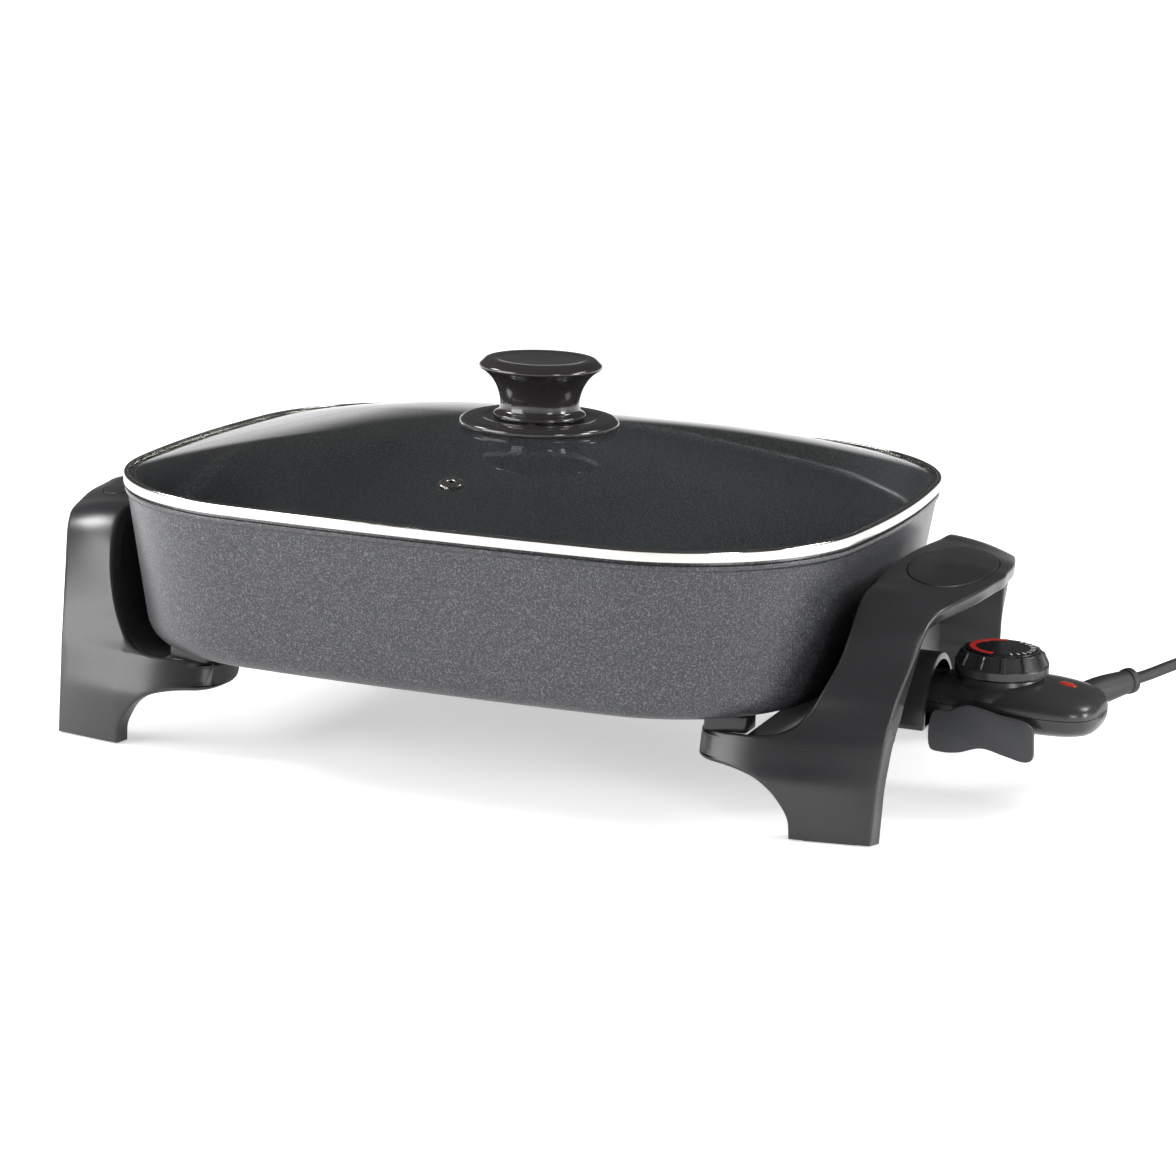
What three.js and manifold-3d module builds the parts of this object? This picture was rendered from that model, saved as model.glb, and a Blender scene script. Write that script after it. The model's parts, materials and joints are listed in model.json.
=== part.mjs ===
// Electric skillet with a lift-off glass lid and a plug-in heat control.
// Millimetres, +Z up, +X towards the heat control. The pan's middle is over the
// origin until the last step, which puts the middle of the whole base there.

import * as THREE from 'three';
import { mergeVertices } from 'three/addons/utils/BufferGeometryUtils.js';
import Module from 'manifold-3d';

const wasm = await Module();
wasm.setup();

// Clearances that all pieces share
const SEAT_GAP = 0.3; // between pieces that rest on each other
const RUN_GAP = 0.6; // around pieces that move
const OVERRUN = 4; // how far a cut runs past the face that it opens

// Pan
const PAN_LENGTH = 400;
const PAN_WIDTH = 330;
const END_BULGE = 22; // bow of each short side
const SIDE_BULGE = 11; // bow of each long side
const CORNER_RADIUS = 103;
const RIM_Z = 137.1;
const PAN_BOTTOM_Z = 55.5;
const PAN_WALL = 3;
const PAN_BASE = 6;
const WALL_SLOPE = 11.5; // how far the wall comes in from lip to bottom edge
const BOTTOM_EDGE_RADIUS = 12.5;
const FLOOR_EDGE_RADIUS = 11;
const LIP_OVERHANG = 2;
const LIP_HEIGHT = 4.5;
const LIP_BEVEL = 0.8;

// Heating element and the ribs that hold it
const ELEMENT_DIAMETER = 8;
const ELEMENT_LENGTH = 270;
const ELEMENT_WIDTH = 190;
const ELEMENT_BULGE = 5;
const ELEMENT_CORNER = 62;
const ELEMENT_END_X = 180;
const ELEMENT_RIB = 3;
const ELEMENT_RIB_HEIGHT = 6;
const ELEMENT_RIB_GAP = 1.1;
const ELEMENT_EXIT_WIDTH = 74;

// Terminals and sensor well
const TERMINAL_SPACING = 22;
const TERMINAL_Z = 50;
const PIN_DIAMETER = 5;
const PIN_END_X = 214;
const BUSH_DIAMETER = 8.4;
const BUSH_LENGTH = 9;
const BUSH_COLLAR = 1.4;
const WELL_DIAMETER = 10.4;
const WELL_BORE = 7.2;
const WELL_START_X = 141;
const WELL_END_X = 187;

// Brackets: one moulding of two legs, a handle across them and an arm inwards from each leg
const FOOT_OUTER_X = 221.6;
const FOOT_OUTER_Y = 112.6;
const FOOT_INNER_X = 182.5;
const FOOT_INNER_Y = 119.5;
const HANDLE_OUTER_X = 251.5;
const HANDLE_OUTER_Z = 113.5;
const HANDLE_INNER_X = 202;
const HANDLE_INNER_Z = 117;
const LEG_THICKNESS = 9;
const HANDLE_THICKNESS = 6.5;
const STRIP_BEVEL = 1.2;
const WEB_WALL = 3;
const WEB_SINK = 0.5;
const WEB_LEG_OVERLAP = 4;
const WEB_TOP_MARGIN = 4.5;
const ARM_REACH = 51.5;
const ARM_TOP_Z = 47;
const ARM_BEVEL = 1.5;

// Outer edge of the strip from foot to mid handle: share of the way from foot to handle in X,
// of the foot's Y and of the handle's height
const outerEdgeShares = [
  [0, 1, 0],
  [0.01, 0.99, 0.075],
  [0.02, 0.98, 0.148],
  [0.027, 0.973, 0.195],
  [0.035, 0.966, 0.24],
  [0.06, 0.947, 0.34],
  [0.085, 0.93, 0.42],
  [0.092, 0.925, 0.44],
  [0.1, 0.917, 0.465],
  [0.11, 0.91, 0.49],
  [0.145, 0.888, 0.54],
  [0.19, 0.86, 0.61],
  [0.328, 0.779, 0.76],
  [0.435, 0.715, 0.887],
  [0.515, 0.659, 0.937],
  [0.602, 0.597, 0.958],
  [0.756, 0.44, 0.977],
  [0.883, 0.288, 0.99],
  [0.957, 0.11, 0.997],
  [1, 0, 1],
];
// Inner edge of the strip, in the same way from the foot's inner corner
const innerEdgeShares = [
  [0, 1, 0],
  [-0.06, 1.001, 0.075],
  [-0.235, 1.004, 0.14],
  [-0.53, 1.009, 0.196],
  [-0.9, 1.012, 0.24],
  [-0.97, 0.99, 0.316],
  [-0.93, 0.977, 0.405],
  [-0.6, 0.965, 0.412],
  [-0.27, 0.945, 0.436],
  [-0.026, 0.925, 0.465],
  [0.246, 0.9, 0.53],
  [0.45, 0.88, 0.6],
  [0.795, 0.816, 0.744],
  [0.93, 0.762, 0.863],
  [0.98, 0.707, 0.94],
  [1, 0.644, 0.983],
  [0.94, 0.46, 0.993],
  [0.846, 0.293, 0.997],
  [0.78, 0.11, 1],
  [0.77, 0, 1],
];
const WEB_FIRST_ROW = 6;
const WEB_LAST_ROW = 14;
// Stations of the arm: share of the reach, of the foot's inner Y in front and behind,
// and of the arm's top height below and above
const armShares = [
  [1, 0.877, 0.735, 0.75, 0.985],
  [0.97, 0.92, 0.728, 0.71, 1],
  [0.87, 0.965, 0.745, 0.7, 1],
  [0.7, 0.992, 0.778, 0.69, 1],
  [0.5, 1.007, 0.82, 0.665, 1],
  [0.33, 1.012, 0.862, 0.605, 1.01],
  [0.2, 1.008, 0.895, 0.51, 1.03],
  [0.05, 0.99, 0.91, 0.38, 1.085],
];
const armLeanShare = 0.25;

// Grip inserts let into the handle tops
const GRIP_X = 225;
const GRIP_LENGTH = 92;
const GRIP_WIDTH = 40;
const GRIP_THICKNESS = 2.2;
const GRIP_PROUD = 0.4;

// Spacers, screws and foot pads
const SPACER_X = 145.5;
const SPACER_Y = 103;
const SPACER_LENGTH = 22;
const SPACER_DEPTH = 16;
const SPACER_EDGE = 2;
const SCREW_SHANK = 4.4;
const SCREW_HEAD = 9;
const SCREW_HEAD_HEIGHT = 3.2;
const SCREW_RECESS = 4.2;
const SCREW_BITE = 3.6; // depth into the pan's base
const FOOT_PAD_LENGTH = 28;
const FOOT_PAD_WIDTH = 5;
const FOOT_PAD_THICKNESS = 2.6;
const FOOT_PAD_PROUD = 0.8;

// Shroud round the socket
const SHROUD_HALF_WIDTH = 28;
const SHROUD_TOP_Z = 70.3;
const SHROUD_BOTTOM_Z = 36;
const SHROUD_WALL = 3.4;
const SHROUD_CLEARANCE = 3; // from the pan's end wall
const SHROUD_DEPTH = 31.5;
const SHROUD_PLATE_ALONG = 13.5; // from the shroud's back
const SHROUD_PLATE_WALL = 3;
const SHROUD_PLATE_WIDTH = 104;
const SHROUD_PLATE_TOP_Z = 75;

// Lid
const BAND_HEIGHT = 5.5;
const BAND_SHEET = 0.8;
const BAND_LIP = 2.4;
const BAND_EDGE_RADIUS = 1;
const BAND_SKIRT_DEPTH = 5;
const GLASS_THICKNESS = 3.6;
const GLASS_FLANGE = 9;
const DOME_RISE = 24;
const GLASS_HOLE = 8;
const domeRingShares = [0.84, 0.66, 0.46, 0.27, 0.1];
const VENT_INSET = 53; // from the outside of the pan's long side
const VENT_HOLE = 8;
const VENT_BORE = 4;
const VENT_DIAMETER = 12;
const VENT_FLANGE = 1.2;

// Knob and its parts
const PLATE_DIAMETER = 83;
const PLATE_RISE = 3.7; // above the dome
const PLATE_EDGE_BEVEL = 2.1;
const PLATE_SKIRT = 4;
const PLATE_WALL = 2.4;
const GASKET_OUTER = 72;
const GASKET_INNER = 56;
const KNOB_HEIGHT = 30.6; // from the top of its plate
const KNOB_FACE_DIAMETER = 57;
const KNOB_DIAMETER = 64;
const KNOB_BEVEL_DROP = 3.2;
const KNOB_EDGE_HEIGHT = 1.6;
const KNOB_NECK_DIAMETER = 41;
const KNOB_FOOT_DIAMETER = 48;
const KNOB_FOOT_HEIGHT = 3.4;
const KNOB_HOLE_DEPTH = 16;
const KNOB_SCREW_DIAMETER = 5;
const WASHER_DIAMETER = 20;
const WASHER_THICKNESS = 1.6;
const KNOB_SCREW_HEAD = 10;
const KNOB_SCREW_HEAD_HEIGHT = 3;

// Heat control housing
const PROBE_INSERTION = 15; // how far the housing reaches into the shroud
const PROBE_LENGTH = 99.5;
const PROBE_SEAM_Z = 50;
const PROBE_TOP_Z = 64;
const PROBE_BOTTOM_Z = 38;
const PROBE_HALF_WIDTH = 28;
const PROBE_WALL = 2.2;
const PROBE_SEAM_GAP = 0.3;
// Stations along the housing: share of its length, of its half width,
// of its height above the seam and of its depth below it
const probeShares = [
  [0, 0.66, 0.7, 0.8],
  [0.16, 0.7, 0.76, 0.86],
  [0.28, 0.8, 0.92, 0.95],
  [0.45, 0.915, 1, 1],
  [0.62, 0.985, 0.99, 1],
  [0.76, 1, 0.92, 1],
  [0.87, 0.95, 0.79, 0.95],
  [0.94, 0.8, 0.62, 0.84],
  [0.98, 0.54, 0.41, 0.6],
  [1, 0.2, 0.16, 0.24],
];
const PROBE_SIDE_STEPS = 8;
const probeRoundnessShare = 0.78; // below 1 squares the section's shoulders
const BOSS_DIAMETER = 8;
const BOSS_ALONG = 62; // this and the other places along are from the housing's inner face
const BOSS_Y = 13;
const BOSS_RECESS = 4;
const HOUSING_SCREW_SHANK = 2.8;
const HOUSING_SCREW_HEAD = 5.4;
const HOUSING_SCREW_HEAD_HEIGHT = 1.8;
const HOUSING_SCREW_BITE = 5;

// Inside the heat control
const ROD_DIAMETER = 6;
const ROD_TIP_X = 147;
const SLEEVE_DIAMETER = 8;
const SLEEVE_BORE = 6;
const SLEEVE_LENGTH = 15;
const BLOCK_ALONG = 21;
const BLOCK_LENGTH = 34;
const BLOCK_WIDTH = 26;
const BLOCK_HEIGHT = 9;
const LENS_ALONG = 80;
const LENS_LENGTH = 11.5;
const LENS_WIDTH = 6;
const LENS_PROUD = 0.7;

// Dial
const DIAL_ALONG = 46.3;
const DIAL_BOTTOM_Z = 65;
const DIAL_TOP_Z = 76.2;
const DIAL_DIAMETER = 47;
const DIAL_SKIRT_HEIGHT = 4.4;
const DIAL_FACE_DIAMETER = 38.5;
const DIAL_RIB_WIDTH = 2.2;
const DIAL_RIB_PROUD = 0.9;
const DIAL_RIBS = 12;
const DISC_DIAMETER = 36.5;
const DISC_THICKNESS = 0.8;
const SPINDLE_DIAMETER = 6;
const SPINDLE_BITE = 5;
const SPINDLE_DROP = 6;
const SPINDLE_COLLAR = 10;
const SPINDLE_COLLAR_HEIGHT = 1.5;

// Release lever
const LEVER_ALONG = 20.6;
const LEVER_LENGTH = 52;
const LEVER_Y = 33;
const LEVER_THICKNESS = 3;
const LEVER_BOTTOM_Z = 29;
const LEVER_HEIGHT = 25;
const LEVER_ARM_THICKNESS = 3;
const LEVER_ARM_WIDTH = 11;
const LEVER_PIN_ALONG = 32;
const LEVER_PIN_Y = 12;
const LEVER_PIN_DIAMETER = 3.6;
const LEVER_PIN_HEAD = 6.4;
const LEVER_PIN_HEAD_HEIGHT = 1.4;
// Outline of the blade: share of its length and of its height
const leverShares = [
  [0, 0.06],
  [0.12, 0],
  [0.28, 0.03],
  [0.5, 0.17],
  [0.72, 0.08],
  [0.93, 0],
  [0.995, 0.07],
  [1, 0.42],
  [0.985, 0.68],
  [0.92, 0.79],
  [0.66, 0.88],
  [0.46, 0.97],
  [0.36, 1],
  [0.27, 0.97],
  [0.17, 0.86],
  [0.02, 0.82],
];

// Strain relief and cord
const CORD_DIAMETER = 6;
const RELIEF_BACK = 16.5; // from the housing's far end
const RELIEF_Y = 22;
const RELIEF_LIFT = 1.6; // above the seam
const RELIEF_REACH = [18.2, 30.7, 3.4]; // from its root to its tip
const RELIEF_ROOT_DIAMETER = 13;
const RELIEF_NECK_DIAMETER = 11.5;
const RELIEF_RING_DIAMETER = 13.2;
const RELIEF_RING_LENGTH = 4.2;
const CORD_SIDES = 10;
const CORD_STEPS = 18;
// Route of the free stretch, chosen by hand, from the strain relief to the floor
const cordRoute = [
  [307.36, 52.98, 55.03],
  [313, 61.4, 56.2],
  [322, 77.5, 58.6],
  [330, 96, 59.4],
  [334, 115, 56.5],
  [333.6, 136, 47.5],
  [330, 158, 35.5],
  [328.5, 179, 22.5],
  [334, 198, 11.5],
  [346, 211.5, 6],
];
const COIL_CENTRE = [378, 176];
const COIL_OUTER_RADIUS = 42.4;
const COIL_PITCH = 6.6;
const COIL_LAYER = 6.8;
const COIL_DIP = 2.8; // how far the half turn that climbs keeps inside the others
const COIL_LOOPS = 5;
const COIL_STEPS = 24;
const COIL_SIDES = 6;
const TIE_SHEET = 0.9;
const TIE_WIDTH = 8;
const TIE_CLEARANCE = 1;
const TIE_REST_CLEARANCE = 0.4;
const FLOOR_CLEARANCE = 0.1;
const PLUG_LENGTH = 32;
const PLUG_WIDTH = 24;
const PLUG_HEIGHT = 17;
const PLUG_NECK = 7;
const PLUG_NECK_LENGTH = 25;
const BLADE_SPACING = 12.7;
const BLADE_LENGTH = 17;
const BLADE_HEIGHT = 6.3;
const BLADE_THICKNESS = 1.5;

// Small helpers

const mix = (from, to, share) => from + (to - from) * share;
const v3 = (x, y, z) => new THREE.Vector3(x, y, z);

// A closed, merged mesh that faces outwards, without flat triangles
function tidy(geometry) {
  geometry.deleteAttribute('normal');
  geometry.deleteAttribute('uv');
  const merged = mergeVertices(geometry);
  const at = merged.attributes.position;
  const kept = [];
  let volume = 0;
  for (let i = 0; i < merged.index.count; i += 3) {
    const [a, b, c] = [0, 1, 2].map((k) => merged.index.getX(i + k));
    if (a === b || b === c || a === c) continue;
    kept.push(a, b, c);
    const [p, q, r] = [a, b, c].map((k) => v3().fromBufferAttribute(at, k));
    volume += p.dot(q.cross(r));
  }
  if (volume < 0) kept.reverse();
  merged.setIndex(kept);
  return merged;
}

function solidOf(geometry) {
  const ready = tidy(geometry);
  return new wasm.Manifold(new wasm.Mesh({
    numProp: 3,
    vertProperties: new Float32Array(ready.attributes.position.array),
    triVerts: new Uint32Array(ready.index.array),
  }));
}

function geometryOf(solid) {
  const mesh = solid.getMesh();
  const geometry = new THREE.BufferGeometry();
  geometry.setAttribute('position', new THREE.BufferAttribute(new Float32Array(mesh.vertProperties), 3));
  geometry.setIndex([...mesh.triVerts]);
  return geometry;
}

const joined = (first, ...others) => others.reduce((sum, other) => sum.add(other), first);
const less = (first, ...others) => others.reduce((rest, other) => rest.subtract(other), first);

// Skin over rings of equal count; either closed round or capped at both ends
function loft(rings, closed = false) {
  const count = rings[0].length;
  const position = rings.flat().flatMap((p) => [p.x, p.y, p.z]);
  const index = [];
  const bands = closed ? rings.length : rings.length - 1;
  for (let r = 0; r < bands; r++) {
    const next = (r + 1) % rings.length;
    for (let i = 0; i < count; i++) {
      const j = (i + 1) % count;
      index.push(r * count + i, r * count + j, next * count + j);
      index.push(r * count + i, next * count + j, next * count + i);
    }
  }
  if (!closed) {
    [[0, true], [rings.length - 1, false]].forEach(([r, turned]) => {
      const middle = rings[r].reduce((sum, p) => sum.add(p), v3(0, 0, 0)).divideScalar(count);
      const centre = position.length / 3;
      position.push(middle.x, middle.y, middle.z);
      for (let i = 0; i < count; i++) {
        const edge = [r * count + i, r * count + (i + 1) % count];
        index.push(centre, ...(turned ? edge.reverse() : edge));
      }
    });
  }
  const geometry = new THREE.BufferGeometry();
  geometry.setAttribute('position', new THREE.Float32BufferAttribute(position, 3));
  geometry.setIndex(index);
  return geometry;
}

// Turned body: profile of [radius, height] pairs, standing on +Z
function turned(profile, steps = 48) {
  const points = profile.map(([radius, height]) => new THREE.Vector2(radius, height));
  return new THREE.LatheGeometry(points, steps).rotateX(Math.PI / 2);
}

function cylinder(diameter, from, to, steps = 12) {
  return turned([[0, from], [diameter / 2, from], [diameter / 2, to], [0, to]], steps);
}

function tubeRing(outer, inner, from, to, steps = 20) {
  const corners = [[inner / 2, from], [outer / 2, from], [outer / 2, to], [inner / 2, to]];
  return turned([...corners, corners[0]], steps);
}

// The same, lying along +X
const alongX = (geometry) => geometry.rotateY(Math.PI / 2);

function boxBetween(low, high) {
  const size = high.map((value, axis) => value - low[axis]);
  const middle = high.map((value, axis) => mix(low[axis], value, 0.5));
  return new THREE.BoxGeometry(...size).translate(...middle);
}

function tubeAlong(curve, diameter, sides, steps) {
  const corners = [...Array(sides).keys()].map((i) => {
    const angle = (i / sides) * Math.PI * 2;
    return new THREE.Vector2(Math.cos(angle), Math.sin(angle)).multiplyScalar(diameter / 2);
  });
  const shape = new THREE.Shape(corners);
  return new THREE.ExtrudeGeometry(shape, { steps, extrudePath: curve, bevelEnabled: false });
}

const mirrored = (geometry, x, y) => geometry.clone().scale(x, y, 1);

// Rounded rectangle of four bowed sides and four round corners, one arc each.
// The inset keeps the arcs' middles and shortens their radii.
function roundedOutline(length, width, endBulge, sideBulge, corner, inset, z, steps) {
  const [halfLength, halfWidth] = [length / 2, width / 2];
  const endRadius = (halfWidth ** 2 + endBulge ** 2) / (2 * endBulge);
  const sideRadius = (halfLength ** 2 + sideBulge ** 2) / (2 * sideBulge);
  const endX = halfLength - endRadius;
  const sideY = halfWidth - sideRadius;
  const span = Math.hypot(endX, sideY);
  const toEnd = endRadius - corner;
  const toSide = sideRadius - corner;
  const along = (toEnd ** 2 - toSide ** 2 + span ** 2) / (2 * span);
  const aside = Math.sqrt(toEnd ** 2 - along ** 2);
  const cx = endX - (endX * along + sideY * aside) / span;
  const cy = (sideY * along - endX * aside) / span;
  const endAngle = Math.atan2(cy, cx - endX);
  const sideAngle = Math.atan2(cy - sideY, cx);
  const quarter = [];
  const arc = (x, y, radius, from, to, count) => {
    for (let i = 0; i < count; i++) {
      const angle = mix(from, to, i / count);
      quarter.push([x + radius * Math.cos(angle), y + radius * Math.sin(angle)]);
    }
  };
  arc(endX, 0, endRadius - inset, 0, endAngle, steps.end);
  arc(cx, cy, corner - inset, endAngle, sideAngle, steps.corner);
  arc(0, sideY, sideRadius - inset, sideAngle, Math.PI / 2, steps.side);
  quarter.push([0, halfWidth - inset]);
  const forward = quarter.slice(0, -1);
  const backward = quarter.slice(1).reverse();
  return [
    ...forward.map(([x, y]) => v3(x, y, z)),
    ...backward.map(([x, y]) => v3(-x, y, z)),
    ...forward.map(([x, y]) => v3(-x, -y, z)),
    ...backward.map(([x, y]) => v3(x, -y, z)),
  ];
}

const PAN_STEPS = { end: 2, corner: 6, side: 2 };
const panOutline = (inset, z) => roundedOutline(
  PAN_LENGTH, PAN_WIDTH, END_BULGE, SIDE_BULGE, CORNER_RADIUS, inset, z, PAN_STEPS,
);

// Pieces

const group = new THREE.Group();
const cordNodes = [];

function add(name, geometry, color, roughness, metalness, more = {}) {
  const { cord = false, ...look } = more;
  const material = new THREE.MeshStandardMaterial({ color, roughness, metalness, ...look });
  const mesh = new THREE.Mesh(geometry, material);
  mesh.name = name;
  group.add(mesh);
  if (cord) cordNodes.push(mesh);
  return mesh;
}

// Alike pieces, each a mesh of its own
function addEach(name, geometries, ...look) {
  geometries.forEach((geometry, i) => add(`${name}_${i + 1}`, tidy(geometry), ...look));
}

const COATING = 0x3c3e42;
const PHENOLIC = 0x2b2a2d;
const PROBE_BLACK = 0x232226;
const STEEL = 0xc9c8c2;
const BRIGHT = 0xdedbd2;
const RUBBER = 0x1c1c1d;

// Pan, with the ribs under its base
const elementZ = PAN_BOTTOM_Z - SEAT_GAP - ELEMENT_DIAMETER / 2;
const wallBottomInset = LIP_OVERHANG + WALL_SLOPE;
const floorZ = PAN_BOTTOM_Z + PAN_BASE;
const lipZ = RIM_Z - LIP_HEIGHT;

function edgeArc(inset, z, radius, rising) {
  const steps = [0, 1, 2, 3, 4];
  return steps.map((i) => {
    const angle = (i / 4) * (Math.PI / 2);
    const inwards = radius * (1 - Math.sin(angle));
    const upwards = radius * (1 - Math.cos(angle));
    return [inset + inwards, z + upwards];
  }).sort((a, b) => (rising ? a[1] - b[1] : b[1] - a[1]));
}

const elementOutline = (inset, z, steps) => roundedOutline(
  ELEMENT_LENGTH, ELEMENT_WIDTH, ELEMENT_BULGE, ELEMENT_BULGE, ELEMENT_CORNER, inset, z, steps,
);

const screwPlaces = [[-1, -1], [1, -1], [-1, 1], [1, 1]];
const screwAt = (geometry, [x, y]) => geometry.translate(x * SPACER_X, y * SPACER_Y, 0);

function makePan() {
  const profile = [
    ...edgeArc(wallBottomInset, PAN_BOTTOM_Z, BOTTOM_EDGE_RADIUS, true),
    [LIP_OVERHANG, lipZ],
    [LIP_BEVEL, lipZ + LIP_BEVEL],
    [LIP_BEVEL, RIM_Z - LIP_BEVEL],
    [LIP_BEVEL * 2, RIM_Z],
    [LIP_OVERHANG + PAN_WALL - LIP_BEVEL, RIM_Z],
    [LIP_OVERHANG + PAN_WALL, RIM_Z - LIP_BEVEL],
    ...edgeArc(wallBottomInset + PAN_WALL, floorZ, FLOOR_EDGE_RADIUS, false),
  ];
  const bowl = solidOf(loft(profile.map(([inset, z]) => panOutline(inset, z))));
  const ribSteps = { end: 1, corner: 7, side: 1 };
  const ribTop = PAN_BOTTOM_Z + PAN_BASE / 2;
  const ribBottom = PAN_BOTTOM_Z - ELEMENT_RIB_HEIGHT;
  const near = ELEMENT_DIAMETER / 2 + ELEMENT_RIB_GAP;
  const ribs = [-near - ELEMENT_RIB, near].map((inset) => solidOf(loft([
    elementOutline(inset, ribBottom, ribSteps),
    elementOutline(inset + ELEMENT_RIB, ribBottom, ribSteps),
    elementOutline(inset + ELEMENT_RIB, ribTop, ribSteps),
    elementOutline(inset, ribTop, ribSteps),
  ], true)));
  const exit = solidOf(boxBetween(
    [0, -ELEMENT_EXIT_WIDTH / 2, ribBottom - OVERRUN],
    [PAN_LENGTH, ELEMENT_EXIT_WIDTH / 2, PAN_BOTTOM_Z],
  ));
  const holes = screwPlaces.map((place) => solidOf(screwAt(
    cylinder(SCREW_SHANK + RUN_GAP, PAN_BOTTOM_Z - OVERRUN, PAN_BOTTOM_Z + SCREW_BITE + SEAT_GAP),
    place,
  )));
  return less(joined(bowl, less(joined(...ribs), exit)), ...holes);
}
add('pan', geometryOf(makePan()), COATING, 0.45, 0.25);

// Heating element: a loop whose two ends run to the terminals
function makeElement() {
  const loop = elementOutline(0, elementZ, { end: 3, corner: 5, side: 3 });
  const half = TERMINAL_SPACING / 2;
  const open = loop.filter((p) => p.x < 0 || Math.abs(p.y) > TERMINAL_SPACING);
  const around = (p) => (Math.atan2(p.y, p.x) + Math.PI * 2) % (Math.PI * 2);
  const path = open.sort((a, b) => around(a) - around(b));
  const turnX = ELEMENT_LENGTH / 2 + TERMINAL_SPACING;
  const leadOut = (side) => [
    v3(turnX, side * half, mix(elementZ, TERMINAL_Z, 0.6)),
    v3(mix(turnX, ELEMENT_END_X, 0.5), side * half, TERMINAL_Z),
    v3(ELEMENT_END_X, side * half, TERMINAL_Z),
  ];
  const places = [...leadOut(1).reverse(), ...path, ...leadOut(-1)];
  const curve = new THREE.CatmullRomCurve3(places, false, 'centripetal');
  return tubeAlong(curve, ELEMENT_DIAMETER, 8, 38);
}
add('heating_element', tidy(makeElement()), 0x8c8a86, 0.5, 0.8);

// Socket: the shroud stands off the pan's end wall, and the housing reaches into it
const shroudBackX = PAN_LENGTH / 2 - LIP_OVERHANG - WALL_SLOPE + SHROUD_CLEARANCE;
const shroudFrontX = shroudBackX + SHROUD_DEPTH;
const shroudPlateX = shroudBackX + SHROUD_PLATE_ALONG;
const probeStartX = shroudFrontX - PROBE_INSERTION;

// Terminals
const terminalSides = [-1, 1];
const atTerminal = (geometry, side) => alongX(geometry)
  .translate(0, (side * TERMINAL_SPACING) / 2, TERMINAL_Z);
const pinStartX = ELEMENT_END_X + SEAT_GAP;
addEach('terminal_pin', terminalSides.map((side) => atTerminal(turned([
  [0, pinStartX],
  [PIN_DIAMETER / 2, pinStartX],
  [PIN_DIAMETER / 2, PIN_END_X - PIN_DIAMETER / 2],
  [PIN_DIAMETER / 4, PIN_END_X],
  [0, PIN_END_X],
], 16), side)), STEEL, 0.3, 0.9);

const bushStartX = shroudBackX - BUSH_LENGTH / 2;
const bushBore = PIN_DIAMETER + SEAT_GAP * 2;
addEach('terminal_bush', terminalSides.map((side) => atTerminal(turned([
  [bushBore / 2, bushStartX],
  [BUSH_DIAMETER / 2 + BUSH_COLLAR, bushStartX],
  [BUSH_DIAMETER / 2 + BUSH_COLLAR, shroudBackX - SEAT_GAP],
  [BUSH_DIAMETER / 2, shroudBackX - SEAT_GAP],
  [BUSH_DIAMETER / 2, bushStartX + BUSH_LENGTH],
  [bushBore / 2, bushStartX + BUSH_LENGTH],
  [bushBore / 2, bushStartX],
], 16), side)), 0xe8e4d8, 0.6, 0);

const wellZ = TERMINAL_Z;
add('thermostat_well', tidy(alongX(turned([
  [0, WELL_START_X],
  [WELL_DIAMETER / 2, WELL_START_X],
  [WELL_DIAMETER / 2, WELL_END_X],
  [WELL_BORE / 2, WELL_END_X],
  [WELL_BORE / 2, WELL_START_X + PAN_WALL],
  [0, WELL_START_X + PAN_WALL],
], 16)).translate(0, 0, wellZ)), 0xa5a39e, 0.4, 0.8);

// Bracket strip: leg, handle and leg in one band
const legBottomZ = FOOT_PAD_PROUD;
const outerHalf = outerEdgeShares.map(([x, y, z]) => v3(
  mix(FOOT_OUTER_X, HANDLE_OUTER_X, x), -FOOT_OUTER_Y * y, mix(legBottomZ, HANDLE_OUTER_Z, z),
));
const innerHalf = innerEdgeShares.map(([x, y, z]) => v3(
  mix(FOOT_INNER_X, HANDLE_INNER_X, x), -FOOT_INNER_Y * y, mix(legBottomZ, HANDLE_INNER_Z, z),
));
const acrossY = (points) => points.slice(0, -1).reverse().map((p) => v3(p.x, -p.y, p.z));
const outerEdge = [...outerHalf, ...acrossY(outerHalf)];
const innerEdge = [...innerHalf, ...acrossY(innerHalf)];

const stripFrames = outerEdge.map((outer, i) => {
  const inner = innerEdge[i];
  const before = Math.max(i - 1, 0);
  const after = Math.min(i + 1, outerEdge.length - 1);
  const across = inner.clone().sub(outer).normalize();
  const travel = outerEdge[after].clone().add(innerEdge[after]).sub(outerEdge[before]).sub(innerEdge[before]);
  const inwards = across.clone().cross(travel);
  if (i === 0 || i === outerEdge.length - 1) inwards.z = 0;
  inwards.normalize();
  if (inwards.dot(v3(0, -outer.y, HANDLE_OUTER_Z / 2 - outer.z)) < 0) inwards.negate();
  const height = Math.min(outer.z / HANDLE_OUTER_Z, 1);
  return { outer, inner, across, inwards, thickness: mix(LEG_THICKNESS, HANDLE_THICKNESS, height ** 2) };
});

// Part of the strip between two depths below its face
function stripLayer(from, toShare, toDepth) {
  return solidOf(loft(stripFrames.map(({ outer, inner, across, inwards, thickness }) => {
    const depth = toShare * thickness + toDepth;
    const at = (edge, sideways, down) => edge.clone()
      .addScaledVector(across, sideways).addScaledVector(inwards, down);
    return [
      at(outer, 0, from + STRIP_BEVEL),
      at(outer, STRIP_BEVEL, from),
      at(inner, -STRIP_BEVEL, from),
      at(inner, 0, from + STRIP_BEVEL),
      at(inner, 0, depth),
      at(outer, 0, depth),
    ];
  })));
}

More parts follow.
